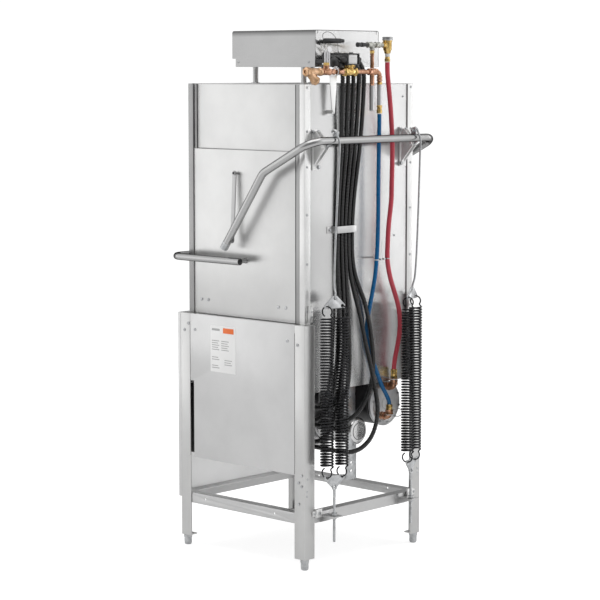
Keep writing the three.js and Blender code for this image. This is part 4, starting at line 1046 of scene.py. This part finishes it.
def add_strainer():
    """Cast inlet strainer: hexagon mouth, swelling body, and a capped branch pointing down."""
    y, z = PIPE_Y, PIPE_Z
    to_left = (-1, 0, 0)
    body = Shape()
    body.turned([(7.5, 4), (7.5, 0), (14.5, 0), (16.6, 1.8), (16.6, 15), (14.8, 16.8), (0, 16.8),
                 (0, 4), (7.5, 4)], (330, y, z), to_left, 6, 0.3)
    body.turned([(0, 0), (15, 0), (15.4, 2), (14.4, 5), (13.2, 10), (13.6, 24), (13.2, 40),
                 (12.2, 50), (13.8, 52), (14.2, 54), (14.2, 61), (13.4, 63), (0, 63)],
                (314, y, z), to_left, 40)
    branch = Vector((-0.765, 0, -0.644))
    start = Vector((312, y, z - 3))
    body.turned([(0, 0), (12.5, 0), (13, 14), (13.6, 30), (15.2, 32), (15.2, 36), (0, 36)],
                start, branch, 40)
    body.turned([(0, 0), (15.4, 0), (17, 1.8), (17, 11), (15.2, 13), (9, 14), (0, 14)],
                start + branch * 36.6, branch, 6)
    piece("inlet_strainer", body, BRONZE, "machine", (), 40)


def add_inlet():
    """Copper pipe, brass valve and nuts, steel tube and shock arrestor, and the strap under them."""
    y, z = PIPE_Y, PIPE_Z
    copper = Shape()
    copper.sweep(bent([(262, y, z), (ELBOW_X, y, z), (ELBOW_X, y, 1696)], 16), 8, 28)
    for x, length, radius in ((208, 38, 11.4), (186, 20, 9.6), (140, 28, 9.6), (-32, 38, 10.8),
                              (ELBOW_X + 14, 8, 9.6)):
        copper.turned(fitting(radius, length), (x, y, z), TO_RIGHT)
    for x, low, length, radius in ((SHOCK_X, z + 6, 16, 10.4), (TEE_X, z, 12, 10),
                                   (ELBOW_X, z - 32, 16, 9.6), (TEE_X, z - 48, 44, 8.4)):
        copper.turned(fitting(radius, length), (x, y, low))
    piece("inlet_copper", copper, COPPER, "machine", ["inlet_manifold"], 40)

    brass = Shape()
    brass.nut(11.5, (SHOCK_X, y, z + 21), (SHOCK_X, y, z + 31))
    brass.turned([(0, 0), (9, 0), (12, 4), (12, 12), (14, 16), (14, 48), (12, 52), (12, 62), (9, 66),
                  (0, 66)], (72, y, z), TO_RIGHT, 24)
    brass.nut(16.5, (73, y, z), (84, y, z)).nut(16.5, (124, y, z), (135, y, z))
    brass.turned([(0, 0), (15, 0), (15, 7), (13, 9), (13, 14), (16.5, 15), (16.5, 20), (10, 22),
                  (0, 22)], (VALVE_X, y, z + 4), UP, 28)
    for dx, dy in ((-13, -9), (13, -9), (-13, 10), (13, 10)):
        x = VALVE_X + dx
        brass.cylinder(2.6, (x, y + dy, z + 16), (x, y + dy, z + 26), 12)
    brass.nut(10.5, (ELBOW_X, y, z - 45), (ELBOW_X, y, z - 36))
    brass.nut(10.8, (ELBOW_X, y, 1612), (ELBOW_X, y, 1621))
    brass.turned([(0, 0), (9.4, 0), (9.9, 1.5), (9.9, 13), (8.4, 14), (8.4, 22), (0, 22)],
                 (ELBOW_X, y, 1592))
    piece("inlet_brass", brass, BRASS)

    clamp_x = 176
    steel = Shape()
    steel.cylinder(8.6, (ELBOW_X, y, 1620), (ELBOW_X, y, 1694), 32)
    steel.cylinder(9, (TEE_X, y, 1602), (TEE_X, y, z - 46), 32)
    steel.turned([(0, 0), (6.5, 0), (7.6, 2), (7.6, 10), (7.0, 11), (7.0, 12), (7.6, 13), (7.6, 34),
                  (6.4, 38), (3, 40), (0, 40)], (SHOCK_X, y, z + 30))
    steel.turned([(0, 0), (10, 0), (11, 0.8), (11, 2.6), (10, 3.4), (0, 3.4)],
                 (216, y + 5, z + 76), TO_REAR)
    steel.box((214, y + 5.5, z + 18), (218.5, y + 8, z + 68), 0.6)
    steel.ring(12, 2.4, (clamp_x, y, z), TO_RIGHT)
    steel.box((clamp_x - 7, y - 9, z + 11), (clamp_x + 7, y + 9, z + 14), 0.8)
    steel.nut(6, (clamp_x, y, z + 14), (clamp_x, y, z + 19))
    piece("inlet_steel", steel, CAST_GREY)

    strap = Shape()
    strap.plate([(164, 1594), (177, 1594), (190, z - 12), (153, z - 12)], "Y", 312, 315, (), 0.6)
    strap.box((164, WALL + 0.3, 1594), (177, 313, 1606), 1.0)
    strap.box((155, 313, z - 13), (188, y + 4, z - 9.5), 0.8)
    strap.turned([(0, 0), (6, 0), (6, 2), (4, 3.5), (0, 3.5)], (171, 315, 1603), TO_REAR)
    piece("inlet_strap", strap, BRACKET_STEEL)


def add_valve_coil():
    """The solenoid on the inlet valve: a pale coil with three rules, in a black frame."""
    y, z = PIPE_Y, PIPE_Z
    coil = Shape().box((78, y - 10, z + 27), (122, y + 13, z + 60), 3)
    piece("valve_coil", coil, WHITE_PLASTIC)
    rules = Shape()
    for low in (33, 40, 47):
        rules.box((84, y + 12.6, z + low), (116, y + 13.4, z + low + 1.6), 0.2)
    piece("valve_coil_rules", rules, LABEL_GREY)

    bars = Shape()
    for left, right, low, high in ((68.5, 131, 23, 27), (68.5, 131, 60, 64),
                                   (68.5, 73, 26, 61), (126.5, 131, 26, 61)):
        bars.box((left, y - 11, z + low), (right, y + 15, z + high), 1)
    bars.nut(8, (100, y + 2, z + 63), (100, y + 2, z + 67.5))
    piece("valve_coil_frame", bars, BLACK_PAINT)


def add_valve_cables():
    """Rubber boots around the coil, a capsule on its pipe, and the jointed cable entry beside it."""
    y, z = PIPE_Y, PIPE_Z
    boots = Shape()
    for x, out in ((126, 1), (76, -1)):
        boots.turned([(0, 0), (9, 0), (11, 3), (11.5, 12), (9, 20), (5, 26), (0, 27)],
                     (x, y + 2, z + 40), (out, 0, 0.15))
    boots.turned([(0, 0), (12, 0), (16, 6), (17, 16), (14, 25), (8, 31), (0, 33)],
                 (CABLE_X, y - 20, z + 18), (0.25, 0, 1))
    boots.turned([(0, 0), (10, 0), (13, 6), (13, 18), (9, 26), (0, 28)],
                 (140, y - 16, z + 10), (0.1, 0, 1))
    capsule = (BOX_REAR + 24, z + 108)
    wall = BOX_REAR + 0.4
    boots.cylinder(8.5, (60, *capsule), (150, *capsule), 28, 4)
    boots.sweep(bent([(70, *capsule), (42, *capsule), (42, wall, capsule[1])], 14), 6.5, 20)
    piece("valve_boots", boots, BLACK_PLASTIC, sharp=50)

    joint = Shape()
    joint.sweep(bent([(CABLE_X, wall, z + 34), (CABLE_X, CABLE_Y, z + 34), (CABLE_X, CABLE_Y, z + 6)],
                     14), 9, 24)
    joint.turned([(0, 0), (11, 0), (13, 2), (13, 22), (11, 25), (0, 25)],
                 (CABLE_X, CABLE_Y, z - 8), UP, 12)
    joint.turned([(0, 0), (8, 0), (9, 2), (9, 18), (7, 22), (0, 23)],
                 (CABLE_X, CABLE_Y, z + 34), UP, 24)
    piece("box_cable_joint", joint, BLACK_PLASTIC, sharp=50)
    ring = Shape().cylinder(10.2, (CABLE_X, CABLE_Y, z + 25), (CABLE_X, CABLE_Y, z + 30.5), 24)
    piece("box_cable_joint_ring", ring, CAST_GREY)


def add_vacuum_breaker():
    """The breaker's body with its side outlet, its white collar and its bolted cap."""
    x, y, z = BREAKER
    brass = Shape()
    brass.turned([(0, 0), (9, 0), (11.5, 3), (12.5, 9), (15.5, 14), (15.5, 40), (17, 42), (17, 46),
                  (0, 46)], (x, y, z - 30), UP, 36)
    brass.turned([(0, 0), (11.5, 0), (11.5, 6), (9.5, 8), (9.5, 20), (0, 20)], (x + 6, y, z), TO_RIGHT)
    brass.nut(9.8, (x, y, 1783), (x, y, 1791))
    brass.turned([(0, 0), (9.6, 0), (10, 2), (10, 10), (0, 10)], (x, y, 1773))
    brass.nut(9, (TEE_X, y, z - 30), (TEE_X, y, z - 20))
    piece("breaker_brass", brass, BRASS, "machine", ["vacuum_breaker"])
    collar = Shape().cylinder(8.4, (x, y, 1791), (x, y, z - 28))
    piece("breaker_collar", collar, WHITE_PLASTIC)

    cap = Shape().turned([(0, 0), (17.5, 0), (18.8, 1.5), (18.8, 5), (17.4, 6), (17.4, 9), (18.4, 10),
                          (18.4, 12), (14, 13), (0, 13)], (x, y, z + 16), UP, 40)
    piece("breaker_cap", cap, CAST_GREY)
    bolts = Shape()
    for level in (20.5, 24.4):
        bolts.turned([(17.5, 0), (19, 0.2), (19, 1.5), (17.5, 1.7), (17.5, 0)],
                     (x, y, z + level), UP, 40)
    for bolt_x, bolt_y in arc(x, y, 13, 0, 2 * math.pi, 6)[:-1]:
        bolts.cylinder(2.6, (bolt_x, bolt_y, z + 21), (bolt_x, bolt_y, z + 28.5), 12)
    piece("breaker_cap_bolts", bolts, BLACK_PLASTIC)


def add_breaker_pipes():
    """The threaded level pipe with its two sleeves, the drop pipe and the hose on the thread's end."""
    x, y, z = BREAKER
    thread = [(6.6 - 0.5 * (k % 2), k * 1.2) for k in range(50)]
    pipe = Shape().turned([(0, 0)] + thread + [(0, 59)], (x + 26, y, z), TO_RIGHT, 24)
    for start in (-54, -12):
        pipe.turned(fitting(9.6, 24), (start, y, z), TO_RIGHT)
    pipe.turned(fitting(8.6, 14), (TEE_X, y, z - 18))
    piece("breaker_level_pipe", pipe, GALVANISED)
    drop = Shape().cylinder(6.8, (TEE_X, y, PIPE_Z + 12.5), (TEE_X, y, z - 10))
    piece("breaker_drop_pipe", drop, COPPER)
    hose = Shape()
    for radius, start, end in ((6.6, 20, 66), (8.2, 34, 44), (8.2, 56, 65)):
        hose.cylinder(radius, (start, y, z), (end, y, z))
    piece("breaker_switch_hose", hose, BLACK_PLASTIC)


# ---------------------------------------------------------------- booster, pump and motor
def add_booster():
    x, z = BOOSTER
    drum = Shape().turned([(0, 0), (70, 0), (79, 3), (80, 8), (80, 306), (78, 308), (0, 308)],
                          (x, -80, z), TO_REAR, 64)
    for y in (-40, 190):
        drum.box((x - 55, y - 10, z + 40), (x + 55, y + 10, TANK_FLOOR - 0.3), 1)
    piece("booster_drum", drum, BLACK_PAINT, "machine", ["booster_tank"])
    face = Shape().turned([(0, 0), (79, 0), (82.8, 1.5), (82.8, 11), (79, 13), (77, 15), (74, 16.5),
                           (70, 16.5), (67, 14.5), (22, 14.5), (20, 16), (0, 16)],
                          (x, 234, z), TO_REAR, 72)
    piece("booster_rear_face", face, CAST_GREY)
    bolts = Shape()
    for k in range(10):
        angle = 2 * math.pi * (k + 0.3) / 10
        bolt_x, bolt_z = x + 72 * math.cos(angle), z + 72 * math.sin(angle)
        bolts.nut(4.6, (bolt_x, 250, bolt_z), (bolt_x, 254, bolt_z), angle)
    piece("booster_bolts", bolts, ZINC)


def add_booster_pipes():
    """Copper elbows out of the booster's face, with the brass unions that the hoses end in."""
    y = BOOSTER_PIPE_Y
    elbows, unions, washers = Shape(), Shape(), Shape()
    for x, top, level in BOOSTER_PIPES:
        elbows.sweep(bent([(x, y, top - 14), (x, y, level), (x, 249, level)], 17), 12.6, 28)
        elbows.turned(fitting(14, 17), (x, y, level + 9))
        elbows.turned(fitting(14, 16), (x, 266, level), TO_REAR)
        unions.nut(14, (x, y, top - 19), (x, y, top - 8))
        unions.turned([(0, 0), (11.4, 0), (12, 1), (12, 5), (11, 6), (11, 8), (12, 9), (12, 22),
                       (10.6, 24), (9, 24), (9, 6), (0, 6)], (x, y, top - 8), UP, 30)
        washers.cylinder(13.6, (x, y, top - 22.4), (x, y, top - 19.4), 30)
    piece("booster_elbows", elbows, COPPER)
    piece("booster_unions", unions, BRASS)
    piece("booster_union_washers", washers, WHITE_PLASTIC)
    wire = [(-157, 308, 512), (-176, 320, 520), (-196, 322, 510), (-204, 314, 494), (-196, 300, 486),
            (-184, 288, 492)]
    piece("booster_wire", Shape().sweep(smooth(wire, 2), 1.6, 10), ZINC)


def add_motor():
    x, z = MOTOR
    motor = Shape().turned([(0, 0), (34, 0), (46, 4), (49.5, 10), (49.5, 20), (47, 21), (47, 150),
                            (49.5, 151), (49.5, 165), (48, 172), (42, 178), (30, 180), (0, 180)],
                           (x, 70, z), TO_REAR, 64)
    motor.cylinder(34, (x, 62, z), (x, 74, z))
    piece("motor_shell", motor, MOTOR_METAL, "machine", ["pump_motor"])
    slots = Shape()
    for k in range(24):
        angle = 2 * math.pi * (k + 0.5) / 24
        start = Vector((x, 214, z)) + Vector((math.cos(angle), 0, math.sin(angle))) * 46.4
        slots.cylinder(1.4, start, start + Vector((0, 5.6, 0)), 10, 0.3)
    slots.turned([(45, 0), (47.3, 0.2), (47.3, 2.2), (45, 2.4), (45, 0)], (x, 88, z), TO_REAR, 64)
    slots.turned([(30, 0), (32, 0), (32, 1.0), (30, 1.0), (30, 0)], (x, 249.4, z), TO_REAR, 48)
    piece("motor_slots", slots, BLACK_PLASTIC)
    bands = Shape()
    for y in (110, 200):
        bands.turned([(47.5, 0), (50, 0), (50, 8), (47.5, 8), (47.5, 0)], (x, y, z), TO_REAR, 64)
        bands.box((x - 30, y + 1, z + 44), (x + 30, y + 6, TANK_FLOOR - 0.5), 0.8)
    bands.plate([(x + 10, z - 172), (x + 66, z - 172), (x + 66, z), (x + 10, z)], "Y", 244, 247,
                [(x + 37, z - 140, 5), (x + 37, z - 110, 5)], 0.6)
    piece("motor_bands", bands, ZINC)


def add_pump():
    """The hollow pump housing with its outlet, and the wheel of six blades that turns in it."""
    x, z = MOTOR
    volute = Shape()
    volute.turned([(24, 0), (70, 0), (76, 3), (78, 8), (78, 46), (74, 51), (40, 52), (40, 46),
                   (62, 46), (62, 6), (24, 6), (24, 0)], (x, 14, z), TO_REAR, 56)
    volute.turned([(0, 0), (18, 0), (18, 156), (22, 157), (22, 163), (0, 163)], (x - 40, 40, z + 14))
    piece("pump_volute", volute, CAST_GREY)
    wheel = Shape().turned([(0, 0), (12, 0), (12, 26), (52, 26), (52, 30), (0, 30)],
                           (x, 26, z), TO_REAR, 48)
    blade = Shape().box((9, 29, -1.5), (50, 53, 1.5), 0.6)
    for k in range(6):
        cosine, sine = math.cos(math.pi * k / 3), math.sin(math.pi * k / 3)
        wheel.add([(x + v.x * cosine - v.z * sine, v.y, z + v.x * sine + v.z * cosine)
                   for v in blade.verts], blade.faces)
    piece("pump_wheel", wheel, ZINC, "pump_impeller", ["pump_impeller"])


# ---------------------------------------------------------------- spray arms
def add_spray_arms():
    """Flat arms that turn on a hub, with jets on the side that faces the rack."""
    for name, length, width, low, high, angle, material, slot in (
            ("lower_wash_arm", 450, 46, 816, 832, 0.5, PANEL, "stainless_panel"),
            ("lower_rinse_arm", 420, 20, 838, 850, -0.6, TUBE_STEEL, "stainless_tube"),
            ("upper_wash_arm", 450, 46, 1636, 1652, 0.4, PANEL, "stainless_panel"),
            ("upper_rinse_arm", 420, 20, 1614, 1626, -0.5, TUBE_STEEL, "stainless_tube")):
        half, side, height = length / 2, width / 2, high - low
        arm = Shape().plate([(-half, -side), (half, -side), (half, side), (-half, side)], "Z",
                            low, high, [(0, 0, 13)], min(width, height) * 0.3)
        arm.turned([(12.8, 0), (20, 0), (20, height + 4), (12.8, height + 4), (12.8, 0)],
                   (0, 0, low - 2), UP, 36)
        jet_z, out = (high, 1) if name.startswith("lower") else (low, -1)
        for k in (-4, -3, -2, -1, 1, 2, 3, 4):
            arm.turned([(0, -1), (4.5, -1), (4.5, 1), (2.2, 1.4), (2, 0.4), (0, 0.4)],
                       (k * half / 4.7, 0, jet_z), (0, 0, out), 14)
        cosine, sine = math.cos(angle), math.sin(angle)
        for v in arm.verts:
            v.x, v.y = v.x * cosine - v.y * sine, v.x * sine + v.y * cosine
        piece(name + "_body", arm, material, name, [name])


# ---------------------------------------------------------------- fasteners, clamps and the label
def add_fasteners():
    skirt = BASE_HALF
    doors = ("doors", "doors")
    side = [(WALL, y, 917) for y in (-227, -192, 160, 196)]
    both_sides("door_rivets", heads(side, TO_RIGHT, 6.5, 2.6), ZINC, doors)
    front = [(x, -WALL, 917) for x in (-205, -170, 170, 205)]
    piece("front_door_rivets", heads(front, (0, -1, 0), 6.5, 2.6), ZINC, "doors")
    rear = [(276, HOOD_HALF, z) for z in (910, 1075, 1246, 1411, 1534, 1684)]
    both_sides("post_screws", heads(rear, TO_REAR, 5, 2, "screw"), ZINC)
    wall = [(x, WALL, z) for x, z in ((-190, 1150), (-190, 700), (-235, 1650), (150, 720))]
    piece("wall_screws", heads(wall, TO_REAR, 4.5, 1.8, "screw"), ZINC)
    screws = [(skirt, y, z) for y, z in ((-270, 827), (-236, 807), (-290, 802), (227, 806),
                                         (276, 796))]
    both_sides("skirt_screws", heads(screws, TO_RIGHT, 6.4, 2.4, "screw"), ZINC)
    seams = Shape()
    for y in (-262, 262):
        seams.box((skirt, y - 0.5, 340), (skirt + 0.35, y + 0.5, 836), 0.1)
    both_sides("skirt_seams", seams, BLACK_PLASTIC)
    leg = [(skirt, 296, 338), (skirt, 282, 311), (skirt, 296, 299), (skirt, 282, 235)]
    both_sides("leg_bolts", heads(leg, TO_RIGHT, 5.5, 3, "bolt"), ZINC)
    rear_leg = [(297, BASE_HALF, 324), (300, BASE_HALF, 281), (300, BASE_HALF, 265)]
    both_sides("rear_leg_rivets", heads(rear_leg, TO_REAR, 4.2, 1.6), ZINC)


def add_frame_hardware():
    """Angle blocks and bolts at the ends of the rear rail, and a catch at each rear post's foot."""
    rail_face = BASE_HALF + 0.4
    blocks = Shape().box((232, rail_face, 184), (262, 321, 214), 1.2)
    blocks.box((262, rail_face, 190), (276, 318, 208), 1.0)
    both_sides("rail_blocks", blocks, BRACKET_STEEL)
    bolts = heads([(247, 321, 199), (269, 318, 199)], TO_REAR, 5.5, 3.5, "bolt")
    both_sides("rail_block_bolts", bolts, ZINC)
    catch = Shape().box((256, HOOD_HALF + 0.6, 872), (274, 297, 930), 1.5)
    catch.box((258, 297, 884), (272, 300, 918), 1.0)
    catch.cylinder(4, (265, 299, 926), (265, 299, 938), 16)
    both_sides("post_catch", catch, BRACKET_STEEL)
    catch_bolts = heads([(265, 300, 892), (265, 300, 910)], TO_REAR, 4, 2.5, "bolt")
    both_sides("post_catch_bolts", catch_bolts, ZINC)


def add_conduit_strap():
    """The band that holds the conduits against the rear wall."""
    low, high, near, far = 1176, 1200, 287, 306.5
    strap = Shape().plate([(40, low), (139, low), (139, high), (40, high)], "Y", 305.2, 306.8, (), 0.4)
    for x in (139, 38.6):
        strap.plate([(near, low), (far, low), (far, high), (near, high)], "X", x, x + 1.6, (), 0.4)
    strap.box((139, WALL + 0.4, low), (172, 287.2, high), 0.5)
    piece("conduit_strap", strap, COVER_STEEL)
    bolt = heads([(158, 287.2, (low + high) / 2)], TO_REAR, 6, 4, "bolt")
    piece("conduit_strap_bolt", bolt, ZINC)


def add_hose_tie():
    """White rings around both hoses, joined by five links in turn black and white."""
    z = 1072
    white = Shape().ring(8.3, 1.6, (-50, 324, z), (0, 0.02, 1)).ring(9.3, 1.6, (-121, 313, z), UP)
    black = Shape()
    for k in range(5):
        link = black if k % 2 == 0 else white
        link.turned([(0, 0), (2.6, 0), (3.2, 2), (3.2, 6), (2.6, 8), (0, 8)],
                    (-64 - 10.6 * k, 322 - 1.6 * k, z), (-1, 0, 0), 12)
    piece("hose_tie_white", white, WHITE_PLASTIC)
    piece("hose_tie_black", black, BLACK_PLASTIC)


def add_label():
    """A blank white rating sticker with an orange block and grey rules, without any lettering."""
    face = BASE_HALF
    white = Shape().box((face, -155, 662), (face + 0.4, -27, 830), 0.15)
    piece("rating_sticker", white, LABEL_WHITE)
    orange = Shape().box((face + 0.3, -91, 805), (face + 0.7, -37, 824), 0.1)
    piece("rating_sticker_block", orange, LABEL_ORANGE)
    rules = Shape()
    for left, low, rows in ((-148, 742, 5), (-100, 742, 5), (-148, 706, 2), (-148, 676, 2),
                            (-84, 690, 3)):
        for row in range(rows):
            z = low + 8 * row
            rules.box((face + 0.3, left, z), (face + 0.6, left + 38 - 6 * (row % 2), z + 3), 0.1)
    rules.box((face + 0.3, -148, 812), (face + 0.6, -108, 820), 0.1)
    piece("rating_sticker_rules", rules, LABEL_GREY)


add_camera()
add_world()
add_lights()
add_floor()
add_cords()
add_sheets()
add_posts()
add_door_guides()
add_feet()
add_handle()
add_lift_arm()
add_bracket_bolts()
add_door_links()
add_springs()
add_cover_sheet()
add_cover_ends()
add_control_fittings()
add_strainer()
add_inlet()
add_valve_coil()
add_valve_cables()
add_vacuum_breaker()
add_breaker_pipes()
add_booster()
add_booster_pipes()
add_motor()
add_pump()
add_spray_arms()
add_fasteners()
add_frame_hardware()
add_conduit_strap()
add_hose_tie()
add_label()
